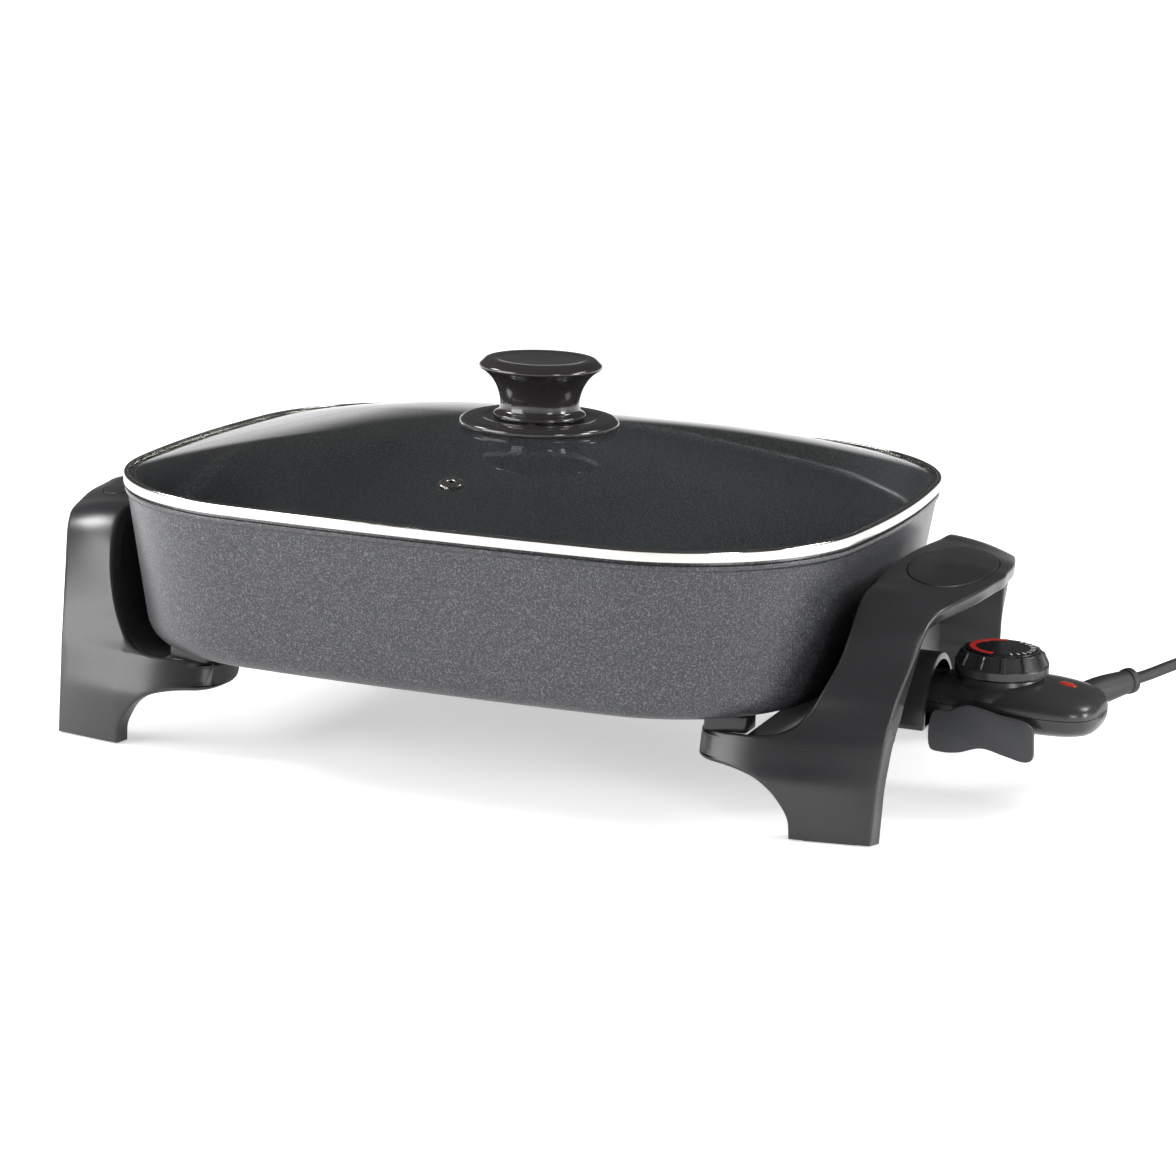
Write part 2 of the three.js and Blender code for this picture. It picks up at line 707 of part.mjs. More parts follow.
function makeArm() {
  return solidOf(loft(armShares.map(([reach, front, back, bottom, top]) => {
    const x = FOOT_INNER_X - ARM_REACH * reach;
    const [low, high] = [ARM_TOP_Z * bottom, ARM_TOP_Z * top];
    const face = -FOOT_INNER_Y * front;
    const lean = (high - low) * armLeanShare;
    const rear = -FOOT_INNER_Y * back;
    return [
      v3(x, face + ARM_BEVEL, low),
      v3(x, face, low + ARM_BEVEL),
      v3(x, face + lean, high - ARM_BEVEL),
      v3(x, face + lean + ARM_BEVEL, high),
      v3(x, rear, high),
      v3(x, rear, low),
    ];
  })));
}

// Heat guard between the legs, from under the handle down and in under the pan
function makeWeb() {
  const rows = innerHalf.slice(WEB_FIRST_ROW, WEB_LAST_ROW + 1);
  const last = rows[rows.length - 1];
  const top = v3(last.x, last.y + WEB_LEG_OVERLAP, HANDLE_INNER_Z - WEB_TOP_MARGIN);
  const points = [...rows, top];
  return solidOf(loft(points.map((p, i) => {
    const a = points[Math.max(i - 1, 0)];
    const b = points[Math.min(i + 1, points.length - 1)];
    const out = v3(b.z - a.z, 0, a.x - b.x).normalize();
    const side = Math.abs(p.y) - WEB_LEG_OVERLAP;
    const face = p.clone().addScaledVector(out, WEB_WALL - WEB_SINK);
    const back = p.clone().addScaledVector(out, -WEB_SINK);
    return [
      v3(face.x, -side, face.z), v3(back.x, -side, back.z),
      v3(back.x, side, back.z), v3(face.x, side, face.z),
    ];
  })));
}

const archShape = (halfWidth, bottom, top) => {
  const shape = new THREE.Shape();
  const springing = top - halfWidth;
  shape.moveTo(-halfWidth, bottom);
  shape.lineTo(halfWidth, bottom);
  shape.lineTo(halfWidth, springing);
  shape.absarc(0, springing, halfWidth, 0, Math.PI, false);
  shape.lineTo(-halfWidth, bottom);
  return shape;
};

function archSolid(halfWidth, bottom, top, fromX, toX) {
  const turn = new THREE.Matrix4().makeBasis(v3(0, 1, 0), v3(0, 0, 1), v3(1, 0, 0));
  const geometry = new THREE.ExtrudeGeometry(archShape(halfWidth, bottom, top), {
    depth: toX - fromX, bevelEnabled: false, curveSegments: 14,
  });
  return solidOf(geometry.applyMatrix4(turn).translate(fromX, 0, 0));
}

const gripCylinder = (grow) => solidOf(cylinder(1, 0, HANDLE_INNER_Z * 2, 26)
  .scale(GRIP_WIDTH + grow * 2, GRIP_LENGTH + grow * 2, 1).translate(GRIP_X, 0, 0));

const armUnderZ = ARM_TOP_Z * armShares[3][3];
const screwHeadZ = armUnderZ + SCREW_RECESS - SCREW_HEAD_HEIGHT;
const footAngle = Math.atan2(FOOT_INNER_Y - FOOT_OUTER_Y, FOOT_OUTER_X - FOOT_INNER_X);
const footMiddle = [
  mix(FOOT_OUTER_X, FOOT_INNER_X, 0.5), -mix(FOOT_OUTER_Y, FOOT_INNER_Y, 0.5),
];

function footPad(grow) {
  const half = [FOOT_PAD_LENGTH / 2 + grow, FOOT_PAD_WIDTH / 2 + grow];
  const inset = LEG_THICKNESS / 2;
  return boxBetween([-half[0], -half[1], 0], [half[0], half[1], FOOT_PAD_THICKNESS + grow])
    .rotateZ(footAngle)
    .translate(footMiddle[0] - inset * Math.sin(footAngle), footMiddle[1] + inset * Math.cos(footAngle), 0);
}

function makeBracket(withSocket) {
  const arm = geometryOf(makeArm());
  const base = joined(
    stripLayer(0, 1, 0), solidOf(arm.clone()), solidOf(mirrored(arm, 1, -1)), makeWeb(),
  );
  const cuts = [];
  [-1, 1].forEach((side) => {
    const place = [1, side];
    const headBottom = screwHeadZ - SCREW_RECESS;
    cuts.push(solidOf(screwAt(cylinder(SCREW_SHANK + RUN_GAP, 0, PAN_BOTTOM_Z), place)));
    const headTop = screwHeadZ + SCREW_HEAD_HEIGHT + SEAT_GAP;
    cuts.push(solidOf(screwAt(cylinder(SCREW_HEAD + RUN_GAP, headBottom, headTop), place)));
    cuts.push(solidOf(mirrored(footPad(SEAT_GAP), 1, -side)));
  });
  const gripLayer = stripLayer(-OVERRUN, 0, GRIP_THICKNESS + SEAT_GAP - GRIP_PROUD);
  cuts.push(gripLayer.intersect(gripCylinder(SEAT_GAP)));
  if (withSocket) {
    cuts.push(archSolid(SHROUD_HALF_WIDTH + SEAT_GAP, 0, SHROUD_TOP_Z + SEAT_GAP, 0, shroudFrontX));
  }
  return geometryOf(less(base, ...cuts));
}

const plainBracket = makeBracket(false);
add('left_bracket', tidy(mirrored(plainBracket, -1, 1)), PHENOLIC, 0.5, 0);
add('right_bracket', makeBracket(true), PHENOLIC, 0.5, 0);

function makeGrip() {
  const layer = stripLayer(-GRIP_PROUD, 0, GRIP_THICKNESS - GRIP_PROUD);
  return geometryOf(layer.intersect(gripCylinder(0)));
}
const grip = makeGrip();
add('left_grip_insert', tidy(mirrored(grip, -1, 1)), 0x26262a, 0.7, 0);
add('right_grip_insert', grip, 0x26262a, 0.7, 0);

// Shroud
function makeShroud() {
  const outer = archSolid(SHROUD_HALF_WIDTH, SHROUD_BOTTOM_Z, SHROUD_TOP_Z, shroudBackX, shroudFrontX);
  const inner = archSolid(
    SHROUD_HALF_WIDTH - SHROUD_WALL, SHROUD_BOTTOM_Z + SHROUD_WALL / 2, SHROUD_TOP_Z - SHROUD_WALL,
    shroudBackX + SHROUD_WALL, shroudFrontX + OVERRUN,
  );
  const plate = solidOf(boxBetween(
    [shroudPlateX, -SHROUD_PLATE_WIDTH / 2, SHROUD_BOTTOM_Z],
    [shroudPlateX + SHROUD_PLATE_WALL, SHROUD_PLATE_WIDTH / 2, SHROUD_PLATE_TOP_Z],
  ));
  const wallCut = (diameter, y) => solidOf(alongX(
    cylinder(diameter, shroudBackX - OVERRUN, shroudBackX + SHROUD_WALL + OVERRUN),
  ).translate(0, y, TERMINAL_Z));
  return geometryOf(less(
    joined(outer, plate), inner, wallCut(WELL_DIAMETER, 0),
    ...terminalSides.map((side) => wallCut(BUSH_DIAMETER + SEAT_GAP * 2, (side * TERMINAL_SPACING) / 2)),
  ));
}
add('probe_shroud', makeShroud(), PHENOLIC, 0.45, 0);

// Spacers between arm and pan, screws up through them, and foot pads
const spacerBottomZ = ARM_TOP_Z + SEAT_GAP;
const spacerTopZ = PAN_BOTTOM_Z - SEAT_GAP;
function makeSpacer() {
  const half = [SPACER_LENGTH / 2, SPACER_DEPTH / 2];
  const ring = (inset, z) => [[1, 1], [-1, 1], [-1, -1], [1, -1]]
    .flatMap(([x, y]) => {
      const along = v3(x * (half[0] - SPACER_EDGE), y * (half[1] - inset), z);
      const aside = v3(x * (half[0] - inset), y * (half[1] - SPACER_EDGE), z);
      return x * y > 0 ? [aside, along] : [along, aside];
    });
  const block = solidOf(loft([ring(0, spacerBottomZ), ring(0, spacerTopZ)]));
  const hole = solidOf(cylinder(SCREW_SHANK + RUN_GAP, 0, PAN_BOTTOM_Z + OVERRUN));
  return geometryOf(less(block, hole));
}
const spacer = makeSpacer();
const corners = { front_left: [-1, -1], front_right: [1, -1], back_left: [-1, 1], back_right: [1, 1] };
Object.entries(corners).forEach(([name, place]) => {
  add(`heat_spacer_${name}`, screwAt(spacer.clone(), place), 0x1d1d1f, 0.8, 0);
});

const screwTopZ = PAN_BOTTOM_Z + SCREW_BITE;
addEach('bracket_screw', screwPlaces.map((place) => screwAt(turned([
  [0, screwHeadZ],
  [SCREW_HEAD / 2, screwHeadZ],
  [SCREW_HEAD / 2, screwHeadZ + SCREW_HEAD_HEIGHT],
  [SCREW_SHANK / 2, screwHeadZ + SCREW_HEAD_HEIGHT],
  [SCREW_SHANK / 2, screwTopZ],
  [0, screwTopZ],
], 16), place)), STEEL, 0.35, 0.9);

Object.entries(corners).forEach(([name, [x, y]]) => {
  add(`foot_pad_${name}`, tidy(mirrored(footPad(0), x, -y)), RUBBER, 0.9, 0);
});

// Lid band: a channel round the glass and a skirt that drops inside the pan
const bandBottomZ = RIM_Z + SEAT_GAP;
const bandTopZ = bandBottomZ + BAND_HEIGHT;
const skirtInset = LIP_OVERHANG + PAN_WALL + RUN_GAP * 2;
const bandProfile = [
  [0, bandBottomZ],
  [0, bandTopZ - BAND_EDGE_RADIUS],
  [BAND_EDGE_RADIUS / 3, bandTopZ - BAND_EDGE_RADIUS / 3],
  [BAND_EDGE_RADIUS, bandTopZ],
  [BAND_LIP, bandTopZ],
  [BAND_LIP, bandTopZ - BAND_SHEET],
  [BAND_SHEET, bandTopZ - BAND_SHEET],
  [BAND_SHEET, bandBottomZ + BAND_SHEET],
  [skirtInset + BAND_SHEET, bandBottomZ + BAND_SHEET],
  [skirtInset + BAND_SHEET * 2, bandBottomZ - BAND_SKIRT_DEPTH],
  [skirtInset + BAND_SHEET, bandBottomZ - BAND_SKIRT_DEPTH],
  [skirtInset, bandBottomZ],
];
const band = loft(bandProfile.map(([inset, z]) => panOutline(inset, z)), true);
add('lid_rim_band', tidy(band), BRIGHT, 0.2, 0.9);

// Lid glass: a flange in the channel, then a dome of parabolic rise
const glassBottomZ = bandBottomZ + BAND_SHEET + SEAT_GAP;
const glassEdgeZ = glassBottomZ + GLASS_THICKNESS - SEAT_GAP * 2;
const glassEdgeInset = BAND_SHEET + SEAT_GAP;
const domeStartZ = bandTopZ;
const domeZ = (share) => domeStartZ + DOME_RISE * (1 - share ** 2);
const domeTopZ = domeStartZ + DOME_RISE;

function domeRing(share, z) {
  const wide = panOutline(GLASS_FLANGE, z);
  const size = mix(PAN_LENGTH, PAN_WIDTH, 0.5) / 2 - GLASS_FLANGE;
  const round = Math.min(Math.max((0.5 - share) / 0.4, 0), 1);
  return wide.map((p) => {
    const circle = p.clone().setZ(0).normalize().multiplyScalar(size);
    return v3(mix(p.x, circle.x, round) * share, mix(p.y, circle.y, round) * share, z);
  });
}

function holeRing(diameter, z) {
  return panOutline(GLASS_FLANGE, z).map((p) => p.clone().setZ(0).normalize()
    .multiplyScalar(diameter / 2).setZ(z));
}

// Height of the dome's top face over a point of it
const domeTopAt = (x, y) => domeZ(Math.hypot(
  x / (PAN_LENGTH / 2 - GLASS_FLANGE), y / (PAN_WIDTH / 2 - GLASS_FLANGE),
));

function makeGlass() {
  const top = domeRingShares.map((share) => domeRing(share, domeZ(share)));
  const under = domeRingShares.map((share) => domeRing(share, domeZ(share) - GLASS_THICKNESS)).reverse();
  const dome = solidOf(loft([
    panOutline(glassEdgeInset, glassBottomZ),
    panOutline(glassEdgeInset, glassEdgeZ),
    panOutline(GLASS_FLANGE / 2, glassEdgeZ),
    panOutline(GLASS_FLANGE, domeStartZ),
    ...top,
    holeRing(GLASS_HOLE, domeTopZ),
    holeRing(GLASS_HOLE, domeTopZ - GLASS_THICKNESS),
    ...under,
    panOutline(GLASS_FLANGE + GLASS_THICKNESS, glassBottomZ),
  ], true));
  const hole = atVent(cylinder(VENT_HOLE, -GLASS_THICKNESS * 2, GLASS_THICKNESS * 2));
  return geometryOf(less(dome, solidOf(hole)));
}

// Places a piece made round the origin square on the dome at the vent
function atVent(geometry) {
  const y = VENT_INSET - PAN_WIDTH / 2;
  const step = VENT_HOLE / 2;
  const slope = (domeTopAt(0, y + step) - domeTopAt(0, y - step)) / (step * 2);
  return geometry.rotateX(Math.atan(slope)).translate(0, y, domeTopAt(0, y));
}
add('lid_glass', makeGlass(), 0xdfe6e6, 0.05, 0, { transparent: true, opacity: 0.3 });

const ventBody = VENT_HOLE - SEAT_GAP * 2;
add('vent_eyelet', tidy(atVent(turned([
  [VENT_BORE / 2, VENT_FLANGE],
  [VENT_DIAMETER / 2 - VENT_FLANGE, VENT_FLANGE],
  [VENT_DIAMETER / 2, SEAT_GAP],
  [ventBody / 2, SEAT_GAP],
  [ventBody / 2, -GLASS_THICKNESS - SEAT_GAP],
  [VENT_DIAMETER / 2, -GLASS_THICKNESS - SEAT_GAP],
  [VENT_DIAMETER / 2 - VENT_FLANGE, -GLASS_THICKNESS - VENT_FLANGE],
  [VENT_BORE / 2, -GLASS_THICKNESS - VENT_FLANGE],
  [VENT_BORE / 2, VENT_FLANGE],
], 20))), BRIGHT, 0.25, 0.9);

// Knob, base plate, gasket, washer and screw
const skirtZ = domeTopAt(PLATE_DIAMETER / 2, 0) + SEAT_GAP;
const plateTopZ = domeTopZ + PLATE_RISE;
const knobTopZ = plateTopZ + KNOB_HEIGHT;
const plateUnderZ = plateTopZ - PLATE_WALL;
const screwBore = KNOB_SCREW_DIAMETER + RUN_GAP;
add('knob_base_plate', tidy(turned([
  [screwBore / 2, plateUnderZ],
  [PLATE_DIAMETER / 2 - PLATE_SKIRT, plateUnderZ],
  [PLATE_DIAMETER / 2 - PLATE_SKIRT, skirtZ],
  [PLATE_DIAMETER / 2, skirtZ],
  [PLATE_DIAMETER / 2, mix(skirtZ, plateTopZ, 0.5)],
  [PLATE_DIAMETER / 2 - PLATE_EDGE_BEVEL, plateTopZ],
  [screwBore / 2, plateTopZ],
  [screwBore / 2, plateUnderZ],
], 36)), 0x18181a, 0.15, 0);

const gasket = tubeRing(GASKET_OUTER, GASKET_INNER, domeTopZ, plateUnderZ - SEAT_GAP, 28);
add('knob_gasket', tidy(gasket), 0x9a9a98, 0.9, 0);

const knobBottomZ = plateTopZ + SEAT_GAP;
const knobHoleZ = knobBottomZ + KNOB_HOLE_DEPTH;
const knobEdgeZ = knobTopZ - KNOB_BEVEL_DROP;
const neckZ = knobBottomZ + KNOB_FOOT_HEIGHT;
// The flare from neck to rim: share of the way out and of the way up
const flareShares = [[0.02, 0.12], [0.08, 0.3], [0.2, 0.5], [0.4, 0.7], [0.68, 0.87]];
add('lid_knob', tidy(turned([
  [0, knobHoleZ],
  [screwBore / 2, knobHoleZ],
  [screwBore / 2, knobBottomZ],
  [KNOB_FOOT_DIAMETER / 2, knobBottomZ],
  [KNOB_FOOT_DIAMETER / 2, mix(knobBottomZ, neckZ, 0.5)],
  [mix(KNOB_FOOT_DIAMETER, KNOB_NECK_DIAMETER, 0.8) / 2, neckZ],
  ...flareShares.map(([out, up]) => [
    mix(KNOB_NECK_DIAMETER, KNOB_DIAMETER, out) / 2, mix(neckZ, knobEdgeZ - KNOB_EDGE_HEIGHT, up),
  ]),
  [KNOB_DIAMETER / 2, knobEdgeZ - KNOB_EDGE_HEIGHT],
  [KNOB_DIAMETER / 2, knobEdgeZ],
  [KNOB_FACE_DIAMETER / 2, knobTopZ],
  [0, knobTopZ],
], 30)), 0x141416, 0.12, 0);

const washerTopZ = domeTopZ - GLASS_THICKNESS - SEAT_GAP;
const washerBottomZ = washerTopZ - WASHER_THICKNESS;
const washer = tubeRing(WASHER_DIAMETER, screwBore, washerBottomZ, washerTopZ, 28);
add('knob_washer', tidy(washer), STEEL, 0.3, 0.9);

const headTopZ = washerBottomZ - SEAT_GAP;
add('knob_screw', tidy(turned([
  [0, headTopZ - KNOB_SCREW_HEAD_HEIGHT],
  [KNOB_SCREW_HEAD / 2 - SEAT_GAP, headTopZ - KNOB_SCREW_HEAD_HEIGHT],
  [KNOB_SCREW_HEAD / 2, headTopZ - KNOB_SCREW_HEAD_HEIGHT / 2],
  [KNOB_SCREW_HEAD / 2, headTopZ],
  [KNOB_SCREW_DIAMETER / 2, headTopZ],
  [KNOB_SCREW_DIAMETER / 2, knobHoleZ - SEAT_GAP],
  [0, knobHoleZ - SEAT_GAP],
], 20)), STEEL, 0.3, 0.9);

// Heat control housing: two shells that meet at the seam
const probeEndX = probeStartX + PROBE_LENGTH;
const bossX = probeStartX + BOSS_ALONG;
const blockX = probeStartX + BLOCK_ALONG;
const lensX = probeStartX + LENS_ALONG;
const dialX = probeStartX + DIAL_ALONG;
const leverStartX = probeStartX + LEVER_ALONG;
const leverPinX = probeStartX + LEVER_PIN_ALONG;
function probeBody(height, upwards, inset) {
  const stations = probeShares.map(([along, width, top, bottom]) => {
    const x = probeStartX + PROBE_LENGTH * along;
    const half = Math.max(PROBE_HALF_WIDTH * width - inset, inset / 2);
    const rise = Math.max(height * (upwards ? top : bottom) - inset, inset / 2);
    return [x, half, rise];
  });
  stations[0][0] += inset;
  stations[stations.length - 1][0] -= inset;
  const sign = upwards ? 1 : -1;
  const level = PROBE_SEAM_Z + (upwards ? PROBE_SEAM_GAP : 0) - (inset > 0 ? sign * OVERRUN : 0);
  return solidOf(loft(stations.map(([x, half, rise]) => {
    const arc = [...Array(PROBE_SIDE_STEPS + 1).keys()].map((i) => {
      const angle = (i / PROBE_SIDE_STEPS) * Math.PI;
      const across = Math.sign(Math.cos(angle)) * Math.abs(Math.cos(angle)) ** probeRoundnessShare;
      return v3(x, half * across, PROBE_SEAM_Z + sign * rise * Math.sin(angle) ** probeRoundnessShare);
    });
    return [v3(x, half, level), ...arc.slice(1, -1), v3(x, -half, level)];
  })));
}

const aboveSeam = PROBE_TOP_Z - PROBE_SEAM_Z;
const belowSeam = PROBE_SEAM_Z - PROBE_BOTTOM_Z;
const bosses = [-1, 1].map((side) => [bossX, side * BOSS_Y]);
const upright = (diameter, from, to, [x, y], steps = 12) => solidOf(
  cylinder(diameter, from, to, steps).translate(x, y, 0),
);
const reliefRoot = [probeEndX - RELIEF_BACK, RELIEF_Y, PROBE_SEAM_Z + RELIEF_LIFT];
const reliefWay = v3(...RELIEF_REACH);
const reliefTurn = new THREE.Quaternion().setFromUnitVectors(v3(0, 0, 1), reliefWay.clone().normalize());
const alongRelief = (geometry) => geometry.applyQuaternion(reliefTurn).translate(...reliefRoot);
const reliefHole = solidOf(alongRelief(cylinder(
  RELIEF_ROOT_DIAMETER + SEAT_GAP * 2, -RELIEF_ROOT_DIAMETER / 4, RELIEF_ROOT_DIAMETER,
)));

const contactHoles = terminalSides.map((side) => solidOf(alongX(cylinder(
  SLEEVE_DIAMETER + SEAT_GAP * 2, probeStartX - OVERRUN, probeStartX + SLEEVE_LENGTH + OVERRUN, 14,
)).translate(0, (side * TERMINAL_SPACING) / 2, TERMINAL_Z)));
const rodHole = solidOf(alongX(cylinder(
  ROD_DIAMETER + SEAT_GAP * 2, probeStartX - OVERRUN, blockX, 14,
)).translate(0, 0, TERMINAL_Z));

const spindleHole = upright(
  SPINDLE_DIAMETER + RUN_GAP, PROBE_TOP_Z - PROBE_WALL - OVERRUN, PROBE_TOP_Z + OVERRUN, [dialX, 0],
);
const lensRise = (grow) => solidOf(new THREE.SphereGeometry(1, 16, 10)
  .scale(LENS_LENGTH / 2 + grow, LENS_WIDTH / 2 + grow, PROBE_WALL + LENS_PROUD + grow)
  .translate(lensX, 0, lensZ()));
function lensZ() {
  const at = LENS_ALONG / PROBE_LENGTH;
  const next = probeShares.findIndex(([along]) => along >= at);
  const [a, b] = [probeShares[next - 1], probeShares[next]];
  const top = mix(a[2], b[2], (at - a[0]) / (b[0] - a[0]));
  return PROBE_SEAM_Z + aboveSeam * top - PROBE_WALL;
}

function makeUpperHousing() {
  const shell = less(probeBody(aboveSeam, true, 0), probeBody(aboveSeam, true, PROBE_WALL));
  const full = probeBody(aboveSeam, true, 0);
  const posts = bosses.map((place) => upright(
    BOSS_DIAMETER, PROBE_SEAM_Z + PROBE_SEAM_GAP, PROBE_TOP_Z, place,
  ).intersect(full));
  const holes = bosses.map((place) => upright(
    HOUSING_SCREW_SHANK + SEAT_GAP * 2, PROBE_SEAM_Z - OVERRUN,
    PROBE_SEAM_Z + HOUSING_SCREW_BITE + SEAT_GAP * 2, place, 12,
  ));
  return geometryOf(less(
    joined(shell, ...posts), ...holes, ...contactHoles, rodHole, spindleHole, reliefHole, lensRise(SEAT_GAP),
  ));
}

function makeLowerHousing() {
  const shell = less(probeBody(belowSeam, false, 0), probeBody(belowSeam, false, PROBE_WALL));
  const full = probeBody(belowSeam, false, 0);
  const posts = bosses.map((place) => upright(
    BOSS_DIAMETER, PROBE_BOTTOM_Z, PROBE_SEAM_Z, place,
  ).intersect(full));
  const pinPost = upright(
    LEVER_PIN_DIAMETER * 2, PROBE_BOTTOM_Z, PROBE_BOTTOM_Z + belowSeam / 2, [leverPinX, -LEVER_PIN_Y],
  ).intersect(full);
  const holes = bosses.flatMap((place) => [
    upright(HOUSING_SCREW_SHANK + SEAT_GAP * 2, PROBE_BOTTOM_Z - OVERRUN, PROBE_SEAM_Z + OVERRUN, place, 12),
    upright(HOUSING_SCREW_HEAD + SEAT_GAP * 2, PROBE_BOTTOM_Z - OVERRUN, PROBE_BOTTOM_Z + BOSS_RECESS, place),
  ]);
  const pinHole = upright(
    LEVER_PIN_DIAMETER + SEAT_GAP * 2, PROBE_BOTTOM_Z - OVERRUN,
    PROBE_BOTTOM_Z + belowSeam / 3 + SEAT_GAP, [leverPinX, -LEVER_PIN_Y], 16,
  );
  return geometryOf(less(
    joined(shell, ...posts, pinPost), ...holes, ...contactHoles, rodHole, pinHole, reliefHole,
  ));
}
add('probe_upper_housing', makeUpperHousing(), PROBE_BLACK, 0.4, 0);
add('probe_lower_housing', makeLowerHousing(), PROBE_BLACK, 0.4, 0);

const blockZ = TERMINAL_Z - BLOCK_HEIGHT / 2;
add('thermostat_block', tidy(boxBetween(
  [blockX, -BLOCK_WIDTH / 2, blockZ], [blockX + BLOCK_LENGTH, BLOCK_WIDTH / 2, blockZ + BLOCK_HEIGHT],
)), 0xb9a878, 0.5, 0.3);

add('sensor_rod', tidy(alongX(turned([
  [0, ROD_TIP_X],
  [ROD_DIAMETER / 4, ROD_TIP_X],
  [ROD_DIAMETER / 2, ROD_TIP_X + ROD_DIAMETER / 3],
  [ROD_DIAMETER / 2, blockX - SEAT_GAP],
  [0, blockX - SEAT_GAP],
], 20)).translate(0, 0, TERMINAL_Z)), STEEL, 0.25, 0.95);

const sleeveStartX = probeStartX + PROBE_WALL;
addEach('contact_sleeve', terminalSides.map((side) => atTerminal(
  tubeRing(SLEEVE_DIAMETER, SLEEVE_BORE, sleeveStartX, sleeveStartX + SLEEVE_LENGTH, 16), side,
)), 0xb08d4a, 0.35, 0.9);

add('indicator_lens', geometryOf(lensRise(0).intersect(solidOf(boxBetween(
  [probeStartX, -PROBE_HALF_WIDTH, lensZ()], [probeEndX, PROBE_HALF_WIDTH, DIAL_TOP_Z],
)))), 0xc81e14, 0.2, 0);

const housingHeadZ = PROBE_BOTTOM_Z + BOSS_RECESS - SEAT_GAP;
addEach('housing_screw', bosses.map(([x, y]) => turned([
  [0, housingHeadZ - HOUSING_SCREW_HEAD_HEIGHT],
  [HOUSING_SCREW_HEAD / 2, housingHeadZ - HOUSING_SCREW_HEAD_HEIGHT],
  [HOUSING_SCREW_HEAD / 2, housingHeadZ],
  [HOUSING_SCREW_SHANK / 2, housingHeadZ],
  [HOUSING_SCREW_SHANK / 2, PROBE_SEAM_Z + HOUSING_SCREW_BITE],
  [0, PROBE_SEAM_Z + HOUSING_SCREW_BITE],
], 14).translate(x, y, 0)), STEEL, 0.35, 0.9);

// Dial on its spindle
const dialBite = DIAL_BOTTOM_Z + SPINDLE_BITE;
function makeDial() {
  const radius = DIAL_DIAMETER / 2;
  const face = DIAL_FACE_DIAMETER / 2;
  const skirtTop = DIAL_BOTTOM_Z + DIAL_SKIRT_HEIGHT;
  const body = solidOf(turned([
    [0, dialBite],
    [(SPINDLE_DIAMETER + SEAT_GAP * 2) / 2, dialBite],
    [(SPINDLE_DIAMETER + SEAT_GAP * 2) / 2, DIAL_BOTTOM_Z],
    [radius, DIAL_BOTTOM_Z],
    [radius, skirtTop],
    [face, DIAL_TOP_Z],
    [0, DIAL_TOP_Z],
  ], 36).translate(dialX, 0, 0));
  const ribs = [...Array(DIAL_RIBS).keys()].map((i) => {
    const rib = loft([-1, 1].map((side) => [
      v3(face - OVERRUN, (side * DIAL_RIB_WIDTH) / 2, skirtTop - DIAL_RIB_PROUD),
      v3(radius, (side * DIAL_RIB_WIDTH) / 2, skirtTop - DIAL_RIB_PROUD),
      v3(radius, (side * DIAL_RIB_WIDTH) / 2, skirtTop + DIAL_RIB_PROUD),
      v3(face + DIAL_RIB_PROUD, (side * DIAL_RIB_WIDTH) / 2, DIAL_TOP_Z),
      v3(face - OVERRUN, (side * DIAL_RIB_WIDTH) / 2, DIAL_TOP_Z),
    ]));
    return solidOf(rib.rotateZ((i / DIAL_RIBS) * Math.PI * 2).translate(dialX, 0, 0));
  });
  return geometryOf(joined(body, ...ribs));
}
add('temperature_dial', makeDial(), 0x1e1e20, 0.45, 0);

add('dial_scale_disc', tidy(cylinder(
  DISC_DIAMETER, DIAL_TOP_Z + SEAT_GAP, DIAL_TOP_Z + SEAT_GAP + DISC_THICKNESS, 32,
).translate(dialX, 0, 0)), 0x121213, 0.3, 0);

const collarZ = PROBE_TOP_Z - PROBE_WALL - SEAT_GAP * 2;
add('dial_spindle', tidy(turned([
  [0, collarZ - SPINDLE_DROP],
  [SPINDLE_DIAMETER / 2, collarZ - SPINDLE_DROP],
  [SPINDLE_DIAMETER / 2, collarZ - SPINDLE_COLLAR_HEIGHT],
  [SPINDLE_COLLAR / 2, collarZ - SPINDLE_COLLAR_HEIGHT],
  [SPINDLE_COLLAR / 2, collarZ],
  [SPINDLE_DIAMETER / 2, collarZ],
  [SPINDLE_DIAMETER / 2, dialBite - SEAT_GAP],
  [0, dialBite - SEAT_GAP],
], 20).translate(dialX, 0, 0)), STEEL, 0.35, 0.9);

// Release lever: a wavy blade beside the housing and an arm under it to the pin
const leverArmTopZ = PROBE_BOTTOM_Z - RUN_GAP;
const leverArmZ = leverArmTopZ - LEVER_ARM_THICKNESS;
function makeLever() {
  const outline = leverShares.map(([x, z]) => new THREE.Vector2(
    leverStartX + LEVER_LENGTH * x, LEVER_BOTTOM_Z + LEVER_HEIGHT * z,
  ));
  const smooth = new THREE.SplineCurve([...outline, outline[0]]).getPoints(34).slice(0, -1);
  const turn = new THREE.Matrix4().makeBasis(v3(1, 0, 0), v3(0, 0, 1), v3(0, -1, 0));
  const blade = solidOf(new THREE.ExtrudeGeometry(new THREE.Shape(smooth), {
    depth: LEVER_THICKNESS, bevelEnabled: false,
  }).applyMatrix4(turn).translate(0, -LEVER_Y + LEVER_THICKNESS / 2, 0));
  const half = LEVER_ARM_WIDTH / 2;
  const arm = joined(
    solidOf(boxBetween(
      [leverPinX - half, -LEVER_Y, leverArmZ], [leverPinX + half, -LEVER_PIN_Y, leverArmTopZ],
    )),
    upright(LEVER_ARM_WIDTH, leverArmZ, leverArmTopZ, [leverPinX, -LEVER_PIN_Y], 24),
  );
  const hole = upright(LEVER_PIN_DIAMETER + RUN_GAP, 0, PROBE_BOTTOM_Z, [leverPinX, -LEVER_PIN_Y]);
  return geometryOf(less(joined(blade, arm), hole));
}
add('release_lever', makeLever(), 0x5d5f63, 0.5, 0);

